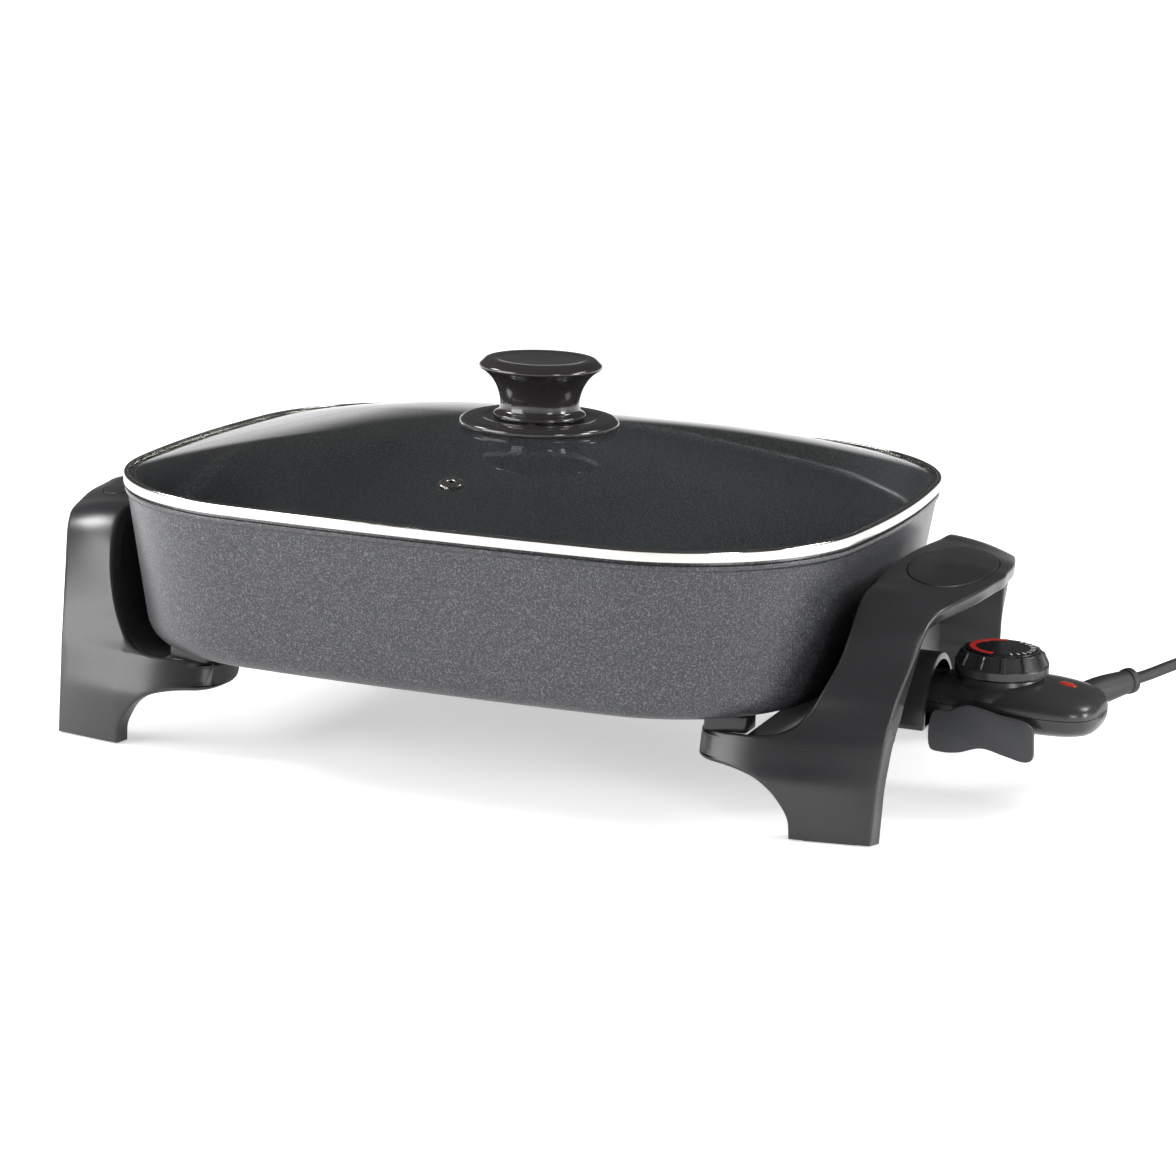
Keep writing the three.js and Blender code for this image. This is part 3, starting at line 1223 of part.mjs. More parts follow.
const pinHeadZ = leverArmZ - SEAT_GAP;
const pinTopZ = PROBE_BOTTOM_Z + belowSeam / 3;
add('lever_pin', tidy(turned([
  [0, pinHeadZ - LEVER_PIN_HEAD_HEIGHT],
  [LEVER_PIN_HEAD / 2, pinHeadZ - LEVER_PIN_HEAD_HEIGHT],
  [LEVER_PIN_HEAD / 2, pinHeadZ],
  [LEVER_PIN_DIAMETER / 2, pinHeadZ],
  [LEVER_PIN_DIAMETER / 2, pinTopZ],
  [0, pinTopZ],
], 20).translate(leverPinX, -LEVER_PIN_Y, 0)), STEEL, 0.3, 0.9);

// Strain relief
const reliefLength = reliefWay.length();
const ringStart = reliefLength - RELIEF_RING_LENGTH;
add('strain_relief', tidy(alongRelief(turned([
  [0, 0],
  [RELIEF_ROOT_DIAMETER / 2, 0],
  [RELIEF_ROOT_DIAMETER / 2, RELIEF_ROOT_DIAMETER],
  [RELIEF_NECK_DIAMETER / 2, ringStart],
  [RELIEF_RING_DIAMETER / 2, ringStart + RELIEF_RING_LENGTH / 4],
  [RELIEF_RING_DIAMETER / 2, reliefLength - RELIEF_RING_LENGTH / 4],
  [CORD_DIAMETER / 2, reliefLength],
  [0, reliefLength],
], 18))), RUBBER, 0.8, 0);

// Cord: free stretch to the floor, then a tied coil, and the plug beside it
const coilZ = CORD_DIAMETER / 2 + TIE_SHEET + TIE_REST_CLEARANCE + FLOOR_CLEARANCE;
const turnsIn = COIL_LOOPS / 2;
function coilPoint(turns) {
  const inwards = Math.min(turns, turnsIn);
  const outwards = Math.max(turns - turnsIn, 0);
  const rising = THREE.MathUtils.clamp((turns - turnsIn + 0.5) * 2, 0, 1);
  const dip = COIL_DIP * Math.sin(rising * Math.PI);
  const radius = COIL_OUTER_RADIUS - COIL_PITCH * (inwards - outwards) - dip;
  const climb = THREE.MathUtils.smoothstep(rising, 0, 1);
  const angle = Math.PI / 2 - turns * Math.PI * 2;
  const x = COIL_CENTRE[0] + radius * Math.cos(angle);
  const y = COIL_CENTRE[1] + radius * Math.sin(angle);
  return v3(x, y, coilZ + COIL_LAYER * climb);
}

const coilCount = COIL_LOOPS * COIL_STEPS;
const coilTurns = [...Array(coilCount + 1).keys()].map((i) => coilPoint(i / COIL_STEPS));
const straightOn = (from, to) => to.clone().add(to.clone().sub(from).setLength(CORD_DIAMETER));
const coilStart = straightOn(coilTurns[1], coilTurns[0]);
const coilEnd = straightOn(coilTurns[coilCount - 1], coilTurns[coilCount]);
const coilPath = [coilStart, ...coilTurns, coilEnd];

// Least gap between the coil's own turns, measured between points more than a quarter loop apart
let leastGap = Infinity;
for (let i = 0; i < coilPath.length; i++) {
  for (let j = i + COIL_STEPS / 4; j < coilPath.length; j++) {
    leastGap = Math.min(leastGap, coilPath[i].distanceTo(coilPath[j]) - CORD_DIAMETER);
  }
}
console.log(`coil: ${COIL_LOOPS} loops, least gap to itself ${leastGap.toFixed(2)} mm`);

function lineTube(points, diameter, sides) {
  const corner = (i, middle, u, w) => {
    const angle = (i / sides) * Math.PI * 2;
    return middle.clone().addScaledVector(u, (Math.cos(angle) * diameter) / 2)
      .addScaledVector(w, (Math.sin(angle) * diameter) / 2);
  };
  return loft(points.map((p, i) => {
    const before = points[Math.max(i - 1, 0)];
    const after = points[Math.min(i + 1, points.length - 1)];
    const way = after.clone().sub(before).normalize();
    const level = v3(0, 0, 1).cross(way).normalize();
    const rise = way.clone().cross(level);
    return [...Array(sides).keys()].map((k) => corner(k, p, level, rise));
  }));
}

const coilWay = coilStart.clone().sub(coilTurns[0]).normalize();
const stretch = new THREE.CatmullRomCurve3([
  ...cordRoute.map((p) => v3(...p)),
  coilStart.clone().addScaledVector(coilWay, CORD_DIAMETER),
  coilStart.clone().addScaledVector(coilWay, SEAT_GAP),
], false, 'centripetal');
const stretchTube = tubeAlong(stretch, CORD_DIAMETER, CORD_SIDES, CORD_STEPS);
add('power_cord', tidy(stretchTube), RUBBER, 0.75, 0, { cord: true });
add('power_cord_coil', tidy(lineTube(coilPath, CORD_DIAMETER, COIL_SIDES)), RUBBER, 0.75, 0, { cord: true });

const coilLength = coilPath.slice(1).reduce((sum, p, i) => sum + p.distanceTo(coilPath[i]), 0);
console.log(`cord: free ${stretch.getLength().toFixed(0)} mm, coil ${coilLength.toFixed(0)} mm`);

function makeTie() {
  const innerRadius = COIL_OUTER_RADIUS - COIL_PITCH * turnsIn - CORD_DIAMETER / 2 - TIE_CLEARANCE;
  const outerRadius = COIL_OUTER_RADIUS - COIL_PITCH / 2 + CORD_DIAMETER / 2 + TIE_CLEARANCE;
  const low = coilZ - CORD_DIAMETER / 2 - TIE_REST_CLEARANCE;
  const high = coilZ + COIL_LAYER + CORD_DIAMETER / 2 + TIE_REST_CLEARANCE;
  const ring = (grow, x) => [
    v3(x, -outerRadius - grow, low - grow), v3(x, -innerRadius + grow, low - grow),
    v3(x, -innerRadius + grow, high + grow), v3(x, -outerRadius - grow, high + grow),
  ];
  const half = TIE_WIDTH / 2;
  return loft([ring(0, -half), ring(TIE_SHEET, -half), ring(TIE_SHEET, half), ring(0, half)], true)
    .translate(...COIL_CENTRE, 0);
}
add('coil_tie', tidy(makeTie()), 0x3a3a3c, 0.6, 0, { cord: true });

// Plug
const plugWay = coilEnd.clone().sub(coilTurns[coilCount]);
const plugAngle = Math.atan2(plugWay.y, plugWay.x);
const atPlug = (geometry) => geometry.rotateZ(plugAngle)
  .translate(coilEnd.x, coilEnd.y, coilEnd.z);
const plugStart = SEAT_GAP;
const plugBodyX = plugStart + PLUG_NECK_LENGTH;
const plugFaceX = plugBodyX + PLUG_LENGTH;
function makePlug() {
  const ring = (x, width, height) => {
    const [w, h] = [width / 2, height / 2];
    const soft = h / 2;
    return [
      v3(x, w, -soft), v3(x, w, soft), v3(x, w - soft, h), v3(x, -w + soft, h),
      v3(x, -w, soft), v3(x, -w, -soft), v3(x, -w + soft, -h), v3(x, w - soft, -h),
    ];
  };
  return loft([
    ring(plugStart, PLUG_NECK, PLUG_NECK),
    ring(plugBodyX, PLUG_NECK, PLUG_NECK),
    ring(mix(plugBodyX, plugFaceX, 0.3), PLUG_WIDTH, PLUG_HEIGHT),
    ring(plugFaceX, PLUG_WIDTH, PLUG_HEIGHT),
  ]);
}
add('mains_plug', tidy(atPlug(makePlug())), RUBBER, 0.6, 0, { cord: true });
addEach('plug_blade', [-1, 1].map((side) => atPlug(boxBetween(
  [plugFaceX + SEAT_GAP, -BLADE_THICKNESS / 2, -BLADE_HEIGHT / 2],
  [plugFaceX + SEAT_GAP + BLADE_LENGTH, BLADE_THICKNESS / 2, BLADE_HEIGHT / 2],
).translate(0, (side * BLADE_SPACING) / 2, 0))), 0xc9a86a, 0.3, 0.9, { cord: true });

// Put the middle of the object's base at the origin; the cord doesn't count
const bounds = new THREE.Box3();
group.children.filter((mesh) => !cordNodes.includes(mesh)).forEach((mesh) => bounds.expandByObject(mesh));
const shift = bounds.getCenter(v3()).setZ(bounds.min.z).negate();
group.children.forEach((mesh) => mesh.geometry.translate(shift.x, shift.y, shift.z));
console.log(`moved by ${shift.x.toFixed(3)}, ${shift.y.toFixed(3)}, ${shift.z.toFixed(3)} mm`);

export default group;
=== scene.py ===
"""Electric skillet: the looks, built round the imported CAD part."""

import json
from math import atan, atan2, copysign, cos, hypot, pi, radians, sin, sqrt

import bmesh
import bpy
import numpy as np
from mathutils import Matrix, Vector


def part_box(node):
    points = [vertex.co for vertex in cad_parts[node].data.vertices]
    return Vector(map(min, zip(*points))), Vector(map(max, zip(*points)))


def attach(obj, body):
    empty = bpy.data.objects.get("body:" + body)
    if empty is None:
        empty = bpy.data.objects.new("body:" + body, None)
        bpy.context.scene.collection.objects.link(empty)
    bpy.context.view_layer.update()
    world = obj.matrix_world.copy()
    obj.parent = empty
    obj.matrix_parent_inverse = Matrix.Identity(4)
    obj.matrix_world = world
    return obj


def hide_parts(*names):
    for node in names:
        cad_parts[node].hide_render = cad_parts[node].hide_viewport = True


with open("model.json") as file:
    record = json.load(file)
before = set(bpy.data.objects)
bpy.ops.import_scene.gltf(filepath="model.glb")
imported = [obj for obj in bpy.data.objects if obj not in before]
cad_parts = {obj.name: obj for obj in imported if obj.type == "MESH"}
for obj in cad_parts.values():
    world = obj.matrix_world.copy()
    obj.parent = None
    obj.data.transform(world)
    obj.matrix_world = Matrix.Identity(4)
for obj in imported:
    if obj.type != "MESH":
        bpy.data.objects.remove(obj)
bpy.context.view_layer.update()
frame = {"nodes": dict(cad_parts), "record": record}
scene = bpy.context.scene

# Lengths are millimetres from the middle of the pan, as in the CAD source, until place()
MM = 0.001
pan_low, pan_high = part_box("pan")
SHIFT_X = (pan_low.x + pan_high.x) / 2


def place(p):
    return (p[0] * MM + SHIFT_X, p[1] * MM, p[2] * MM)


def add(name, data):
    made = bpy.data.objects.new(name, data)
    scene.collection.objects.link(made)
    return made


# Camera, fitted to the photograph
CAMERA_AT = Vector((0.607939, -1.55642, 0.46781))
CAMERA_FORWARD = Vector((-0.3549, 0.90751, -0.22466))
CAMERA_UP = Vector((-0.10889, 0.19854, 0.97403))
CAMERA_LENS = 100.72
SENSOR = 36


def make_camera():
    data = bpy.data.cameras.new("camera")
    data.lens, data.sensor_width = CAMERA_LENS, SENSOR
    data.clip_start, data.clip_end = 0.05, 60
    forward = CAMERA_FORWARD.normalized()
    right = forward.cross(CAMERA_UP).normalized()
    turn = Matrix((right, right.cross(forward), -forward)).transposed()
    camera = add("camera", data)
    camera.matrix_world = Matrix.Translation(CAMERA_AT) @ turn.to_4x4()
    scene.camera = camera


make_camera()


# ---- materials

GRAIN_DEPTH = 0.00012
MIX_SOCKETS = {"FLOAT": (2, 0), "RGBA": (6, 2)}


class Tree:
    """Short calls for building a node tree."""

    def __init__(self, owner):
        self.owner = owner
        owner.use_nodes = True
        self.tree = owner.node_tree
        self.tree.nodes.clear()
        self.where = self.node("ShaderNodeTexCoord").outputs

    def node(self, kind, **values):
        made = self.tree.nodes.new(kind)
        for key, value in values.items():
            setattr(made, key, value)
        return made

    def put(self, value, socket):
        if isinstance(value, bpy.types.NodeSocket):
            self.tree.links.new(value, socket)
        else:
            socket.default_value = (*value, 1) if isinstance(value, tuple) else value

    def fill(self, made, **values):
        """Puts numbers, colours or links into a node's sockets."""
        for key, value in values.items():
            self.put(value, made.inputs[key.replace("_", " ")])
        return made

    def noise(self, size, detail, rough=0.5, stretch=None):
        where = self.where["Object"]
        if stretch:
            mapped = self.fill(self.node("ShaderNodeMapping"), Vector=where)
            mapped.inputs["Scale"].default_value = stretch
            where = mapped.outputs["Vector"]
        made = self.node("ShaderNodeTexNoise")
        self.fill(made, Vector=where, Scale=1 / size, Detail=detail, Roughness=rough)
        return made.outputs["Fac"]

    def spread(self, value, low, high, to_low, to_high, **values):
        made = self.node("ShaderNodeMapRange", **values)
        self.fill(made, Value=value, From_Min=low, From_Max=high, To_Min=to_low, To_Max=to_high)
        return made.outputs["Result"]

    def math(self, operation, a, b):
        made = self.node("ShaderNodeMath", operation=operation)
        self.put(a, made.inputs[0])
        self.put(b, made.inputs[1])
        return made.outputs[0]

    def mix(self, share, a, b, kind="RGBA"):
        made = self.node("ShaderNodeMix", data_type=kind)
        first, result = MIX_SOCKETS[kind]
        for value, index in ((share, 0), (a, first), (b, first + 1)):
            self.put(value, made.inputs[index])
        return made.outputs[result]

    def bump(self, height, strength, distance=GRAIN_DEPTH):
        made = self.fill(self.node("ShaderNodeBump"), Strength=strength, Distance=distance, Height=height)
        return made.outputs["Normal"]

    def shader(self, **values):
        return self.fill(self.node("ShaderNodeBsdfPrincipled"), **values).outputs["BSDF"]

    def close(self, shader, kind="Material"):
        self.put(shader, self.node("ShaderNodeOutput" + kind).inputs["Surface"])
        return self.owner


def coating():
    """Dark non-stick coat with fine pale flecks."""
    t = Tree(bpy.data.materials.new("coated_pan"))
    share = t.spread(t.noise(0.05, 4), 0.3, 0.7, 0, 1)
    base = t.mix(share, (0.019, 0.0196, 0.0216), (0.024, 0.0247, 0.0272))
    fleck = t.noise(0.0008, 2, 0.6)
    base = t.mix(t.spread(fleck, 0.48, 0.64, 0, 1), base, (0.140, 0.145, 0.158))
    base = t.mix(t.spread(t.noise(0.0011, 2, 0.6), 0.52, 0.7, 0, 1), base, (0.012, 0.012, 0.014))
    gloss = t.spread(t.noise(0.02, 5), 0.3, 0.7, 0.31, 0.36)
    shine = t.spread(fleck, 0.48, 0.64, 0, 0.3)
    normal = t.bump(t.noise(0.0009, 3), 0.2)
    shader = t.shader(Base_Color=base, Roughness=gloss, Metallic=shine, Normal=normal, Specular_IOR_Level=0.6)
    return t.close(shader)


def clear_glass():
    """Clear glass that lets lamps through to what is behind it."""
    t = Tree(bpy.data.materials.new("glass"))
    rough = t.spread(t.noise(0.05, 3), 0.3, 0.7, 0.0, 0.02)
    made = t.shader(Base_Color=(0.97, 0.985, 0.98), Roughness=rough, Transmission_Weight=1.0, IOR=1.25)
    clear = t.fill(t.node("ShaderNodeBsdfTransparent"), Color=(0.93, 0.95, 0.945))
    light = t.node("ShaderNodeLightPath")
    for kind in ("Is Shadow Ray", "Is Diffuse Ray", "Is Glossy Ray"):
        step = t.node("ShaderNodeMixShader")
        for index, value in enumerate((light.outputs[kind], made, clear.outputs["BSDF"])):
            t.put(value, step.inputs[index])
        made = step.outputs[0]
    return t.close(made)


def brushed(name, dark, light, rough):
    """Metal with fine drawn lines."""
    t = Tree(bpy.data.materials.new(name))
    lines = t.noise(0.004, 5, 0.6, (1, 1, 12))
    colour = t.mix(t.spread(lines, 0.3, 0.7, 0, 1), dark, light)
    gloss = t.spread(t.noise(0.012, 4), 0.3, 0.7, *rough)
    normal = t.bump(lines, 0.05, 0.0001)
    return t.close(t.shader(Base_Color=colour, Roughness=gloss, Metallic=1.0, Normal=normal))


def plain(name, dark, light, rough, bump=0.15, coat=0.0):
    """A moulded or turned surface: soft patches of colour, fine grain and uneven gloss."""
    t = Tree(bpy.data.materials.new(name))
    colour = t.mix(t.spread(t.noise(0.03, 2), 0.2, 0.8, 0, 1), dark, light)
    gloss = t.spread(t.noise(0.018, 2), 0.2, 0.8, *rough)
    look = {"Base_Color": colour, "Roughness": gloss, "Normal": t.bump(t.noise(0.0005, 2), bump)}
    return t.close(t.shader(Coat_Weight=coat, Coat_Roughness=0.08, **look))


# Each row: name, darker and lighter colour, range of roughness
METALS = [
    ("bright_steel", (0.57, 0.56, 0.525), (0.68, 0.67, 0.63), (0.08, 0.16)),
    ("plain_steel", (0.62, 0.61, 0.59), (0.74, 0.73, 0.71), (0.22, 0.34)),
    ("element_sheath", (0.20, 0.17, 0.15), (0.34, 0.30, 0.27), (0.4, 0.55)),
    ("plain_aluminium", (0.52, 0.52, 0.51), (0.64, 0.64, 0.63), (0.34, 0.48)),
    ("brass", (0.66, 0.50, 0.24), (0.78, 0.62, 0.33), (0.2, 0.32)),
]
# The same, and then the grain's strength and a clear coat where there is one
MOULDED = [
    ("bracket_black", (0.022, 0.0212, 0.0232), (0.026, 0.0252, 0.0275), (0.27, 0.31), 0.03),
    ("grip_black", (0.018, 0.0165, 0.018), (0.022, 0.0205, 0.0225), (0.34, 0.42), 0.2),
    ("knob_black", (0.024, 0.021, 0.022), (0.030, 0.026, 0.027), (0.12, 0.2), 0.03, 0.4),
    ("control_black", (0.030, 0.0285, 0.0295), (0.036, 0.0345, 0.0355), (0.24, 0.32), 0.08),
    ("cord_black", (0.020, 0.020, 0.021), (0.028, 0.028, 0.029), (0.5, 0.62), 0.3),
    ("rubber_foot", (0.016, 0.016, 0.016), (0.024, 0.024, 0.024), (0.7, 0.85), 0.5),
    ("silicone", (0.30, 0.31, 0.31), (0.36, 0.37, 0.37), (0.5, 0.62)),
    ("lever_grey", (0.046, 0.0475, 0.051), (0.056, 0.0575, 0.062), (0.42, 0.52), 0.3),
    ("thermostat_parts", (0.40, 0.34, 0.2), (0.5, 0.43, 0.27), (0.4, 0.55)),
    ("ceramic", (0.74, 0.71, 0.63), (0.84, 0.81, 0.74), (0.55, 0.7), 0.4),
    ("dial_face", (0.010, 0.009, 0.010), (0.014, 0.013, 0.014), (0.2, 0.3)),
    ("red_lens", (0.40, 0.018, 0.010), (0.52, 0.030, 0.014), (0.1, 0.16), 0.03, 0.6),
    ("red_print", (0.60, 0.02, 0.02), (0.72, 0.04, 0.03), (0.3, 0.4)),
    ("white_print", (0.74, 0.74, 0.73), (0.86, 0.86, 0.85), (0.3, 0.4)),
]
LOOK = {"coated_pan": coating(), "glass": clear_glass()}
LOOK.update((row[0], brushed(*row)) for row in METALS)
LOOK.update((row[0], plain(*row)) for row in MOULDED)


# ---- mesh helpers


def mix(a, b, share):
    return a + (b - a) * share


def smoothstep(x):
    x = min(max(x, 0.0), 1.0)
    return x * x * (3 - 2 * x)


def circle(count):
    return [(cos(a), sin(a)) for a in (2 * pi * k / count for k in range(count))]


def corners(x0, y0, x1, y1):
    return [(x0, y0), (x1, y0), (x1, y1), (x0, y1)]


def solid(rings, closed=False):
    """A skin over rings of equal count, closed round or capped, with clean outward faces."""
    count = len(rings[0])
    faces = []
    for r in range(len(rings) if closed else len(rings) - 1):
        a, b = r * count, (r + 1) % len(rings) * count
        for i in range(count):
            j = (i + 1) % count
            faces.append((a + i, a + j, b + j, b + i))
    if not closed:
        last = (len(rings) - 1) * count
        faces += [tuple(range(count))[::-1], tuple(range(last, last + count))]
    mesh = bpy.data.meshes.new("solid")
    mesh.from_pydata([place(p) for ring in rings for p in ring], [], faces)
    work = bmesh.new()
    work.from_mesh(mesh)
    bmesh.ops.remove_doubles(work, verts=work.verts, dist=2e-6)
    bmesh.ops.dissolve_degenerate(work, edges=work.edges, dist=1e-7)
    bmesh.ops.recalc_face_normals(work, faces=work.faces)
    work.to_mesh(mesh)
    work.free()
    return add("solid", mesh)


def rounded(profile, radius, steps=4, closed=False):
    """The same line with round corners. An entry may end in its own radius."""
    out = []
    count = len(profile)
    line = [np.array(p[:2], float) for p in profile]
    for i, p in enumerate(line):
        own = profile[i][2] if len(profile[i]) > 2 else radius
        if own == 0 or (not closed and i in (0, count - 1)):
            out.append(tuple(p))
            continue
        to_a, to_b = line[i - 1] - p, line[(i + 1) % count] - p
        a, b = np.linalg.norm(to_a), np.linalg.norm(to_b)
        reach = min(own, a * 0.48, b * 0.48)
        start, end = p + to_a / a * reach, p + to_b / b * reach
        for k in range(steps + 1):
            t = k / steps
            out.append(tuple((1 - t) ** 2 * start + 2 * t * (1 - t) * p + t * t * end))
    return out


def turned(profile, steps, at=(0, 0), shape=None):
    """Rings turned about +Z from pairs of radius and height."""
    rings = []
    for radius, height in profile:
        ring = []
        for i in range(steps):
            angle = 2 * pi * i / steps
            r = radius if shape is None else shape(radius, height, angle)
            ring.append((at[0] + r * cos(angle), at[1] + r * sin(angle), height))
        rings.append(ring)
    return rings


def moved(rings, change):
    return [[change(p) for p in ring] for ring in rings]


# Height of the sensor, the contacts and the seam of the control
AXIS_Z = 50


def lying(rings, y=0.0):
    """Turned rings laid along +X."""
    return moved(rings, lambda p: (p[2], y + p[1], AXIS_Z - p[0]))


def lathe(profile, steps, radius=0.3, parts=4, closed=False, at=(0, 0)):
    return solid(turned(rounded(profile, radius, parts, closed), steps, at), closed)


def lathe_x(profile, steps, radius, y=0.0, parts=4, closed=False):
    return solid(lying(turned(rounded(profile, radius, parts, closed), steps), y), closed)


def bolt(head, shank, low, high, top, steps, at):
    """A shank under a head whose radius and round edge are given."""
    line = [(0, low), (head[0], low, head[1]), (head[0], high, 0.2), (shank, high, 0), (shank, top), (0, top)]
    return lathe(line, steps, at=at)


def upright(diameter, low, high, at):
    return solid(turned(corners(0, low, diameter / 2, high), 48, at))


def bore(radius, start, end, y):
    return solid(lying(turned(corners(0, start, radius, end), 40), y))


def prism(outline, low, high):
    return solid([[(x, y, z) for x, y in outline] for z in (low, high)])


def catmull(points, per, closed=False):
    """Centripetal spline through rows of numbers, with so many steps between two rows."""
    rows = np.array(points, float)
    count = len(rows)
    out = []
    for i in range(count if closed else count - 1):
        if closed:
            p0, p1, p2, p3 = (rows[(i + k) % count] for k in (-1, 0, 1, 2))
        else:
            p1, p2 = rows[i], rows[i + 1]
            p0 = rows[i - 1] if i > 0 else 2 * p1 - p2
            p3 = rows[i + 2] if i + 2 < count else 2 * p2 - p1
        d0, d1, d2 = (max(np.linalg.norm(b - a) ** 0.5, 1e-6) for a, b in ((p0, p1), (p1, p2), (p2, p3)))
        t1 = ((p1 - p0) / d0 - (p2 - p0) / (d0 + d1) + (p2 - p1) / d1) * d1
        t2 = ((p2 - p1) / d1 - (p3 - p1) / (d1 + d2) + (p3 - p2) / d2) * d1
        for t in (k / per for k in range(per)):
            start = (2 * t**3 - 3 * t**2 + 1) * p1 + (t**3 - 2 * t**2 + t) * t1
            out.append(start + (3 * t**2 - 2 * t**3) * p2 + (t**3 - t**2) * t2)
    if not closed:
        out.append(rows[-1])
    return [tuple(p) for p in out]


def bake(obj):
    """Applies an object's modifiers to its mesh."""
    graph = bpy.context.evaluated_depsgraph_get()
    mesh = bpy.data.meshes.new_from_object(obj.evaluated_get(graph))
    obj.modifiers.clear()
    obj.data = mesh


def combine(target, others, operation):
    for other in others:
        step = target.modifiers.new("step", "BOOLEAN")
        step.operation, step.solver, step.object = operation, "EXACT", other
    bake(target)
    for other in others:
        bpy.data.objects.remove(other)
    return target


def less(target, *others):
    return combine(target, others, "DIFFERENCE")


def joined(target, *others):
    return combine(target, others, "UNION")


def common(target, *others):
    return combine(target, others, "INTERSECT")


def mirrored(obj):
    """A copy mirrored through the pan's middle."""
    mesh = obj.data.copy()
    to_middle = Matrix.Translation((-SHIFT_X, 0, 0))
    mesh.transform(to_middle.inverted() @ Matrix.Diagonal((-1, 1, 1, 1)) @ to_middle)
    mesh.flip_normals()
    return add(obj.name, mesh)


def bevel(obj, width, angle=40):
    step = obj.modifiers.new("bevel", "BEVEL")
    step.width, step.segments = width * MM, 3
    step.limit_method, step.angle_limit = "ANGLE", radians(angle)
    step.use_clamp_overlap = True
    bake(obj)
    return obj


def piece(obj, name, look, body, nodes=(), sharp=32):
    """Names, paints and registers a finished piece."""
    obj.name = obj.data.name = name
    obj.data.materials.clear()
    obj.data.materials.append(LOOK[look])
    for polygon in obj.data.polygons:
        polygon.material_index = 0
    obj.data.shade_smooth()
    obj.data.set_sharp_from_angle(angle=radians(sharp))
    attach(obj, body)
    if nodes:
        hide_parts(*nodes)
    return obj


# ---- pan


def rounded_outline(length, width, end_bulge, side_bulge, corner, inset, z, steps):
    """Four bowed sides and four round corners. The inset shortens the arcs' radii."""
    half_length, half_width = length / 2, width / 2
    end_radius = (half_width**2 + end_bulge**2) / (2 * end_bulge)
    side_radius = (half_length**2 + side_bulge**2) / (2 * side_bulge)
    end_x, side_y = half_length - end_radius, half_width - side_radius
    span = hypot(end_x, side_y)
    to_end, to_side = end_radius - corner, side_radius - corner
    along = (to_end**2 - to_side**2 + span**2) / (2 * span)
    aside = sqrt(to_end**2 - along**2)
    cx = end_x - (end_x * along + side_y * aside) / span
    cy = (side_y * along - end_x * aside) / span
    end_angle = atan2(cy, cx - end_x)
    side_angle = atan2(cy - side_y, cx)
    quarter = []
    for x, y, radius, start, stop, count in (
        (end_x, 0, end_radius - inset, 0, end_angle, steps[0]),
        (cx, cy, corner - inset, end_angle, side_angle, steps[1]),
        (0, side_y, side_radius - inset, side_angle, pi / 2, steps[2]),
    ):
        for i in range(count):
            angle = mix(start, stop, i / count)
            quarter.append((x + radius * cos(angle), y + radius * sin(angle)))
    quarter.append((0, half_width - inset))
    forward, backward = quarter[:-1], quarter[:0:-1]
    whole = ((forward, 1, 1), (backward, -1, 1), (forward, -1, -1), (backward, 1, -1))
    return [(a * x, b * y, z) for part, a, b in whole for x, y in part]


PAN_LENGTH, PAN_WIDTH = 400, 330
RIM_Z, PAN_BOTTOM_Z, PAN_BASE, PAN_WALL = 137.1, 55.5, 6, 3
WALL_INSET, LIP_OVERHANG, LIP_HEIGHT = 13.5, 2, 4.5
OUTER_CORNER, INNER_CORNER = 13.5, 11
FLOOR_Z = PAN_BOTTOM_Z + PAN_BASE
STEPS = (14, 26, 14)


def pan_outline(inset, z):
    return rounded_outline(PAN_LENGTH, PAN_WIDTH, 22, 11, 103, inset, z, STEPS)


def pan_rings(rows):
    return [pan_outline(inset, z) for inset, z in rows]


def make_pan():
    lip_z, inner = RIM_Z - LIP_HEIGHT, LIP_OVERHANG + PAN_WALL
    outside = [
        (WALL_INSET + 32, PAN_BOTTOM_Z), (WALL_INSET + 0.6, PAN_BOTTOM_Z, OUTER_CORNER),
        (LIP_OVERHANG + 0.3, lip_z - 1.5, 0.8), (LIP_OVERHANG, lip_z, 0.8), (0.8, lip_z + 0.8, 0.5),
        (0.8, RIM_Z - 1.5, 0.5), (2.6, RIM_Z - 1.4, 0.2), (2.8, RIM_Z, 0.2), (inner, RIM_Z, 1.0),
        (inner + 0.4, RIM_Z - 4),
    ]
    profile = rounded(outside, 0.8, 8)
    for t in (pi / 2 * k / 12 for k in range(12, -1, -1)):
        low_inset, low_z = INNER_CORNER * (1 - sin(t)), INNER_CORNER * (1 - cos(t))
        profile.append((WALL_INSET + PAN_WALL + low_inset, FLOOR_Z + low_z))
    piece(solid(pan_rings(profile)), "pan_coated", "coated_pan", "base", ["pan"], sharp=40)


# ---- brackets

FOOT_OUTER, FOOT_INNER = (221.6, 112.6), (182.5, 119.5)
HANDLE_OUTER, HANDLE_INNER = (251.5, 113.5), (202, 117)
LEG_BOTTOM_Z = 0.8
LEG_THICKNESS, HANDLE_THICKNESS = 9, 6.5
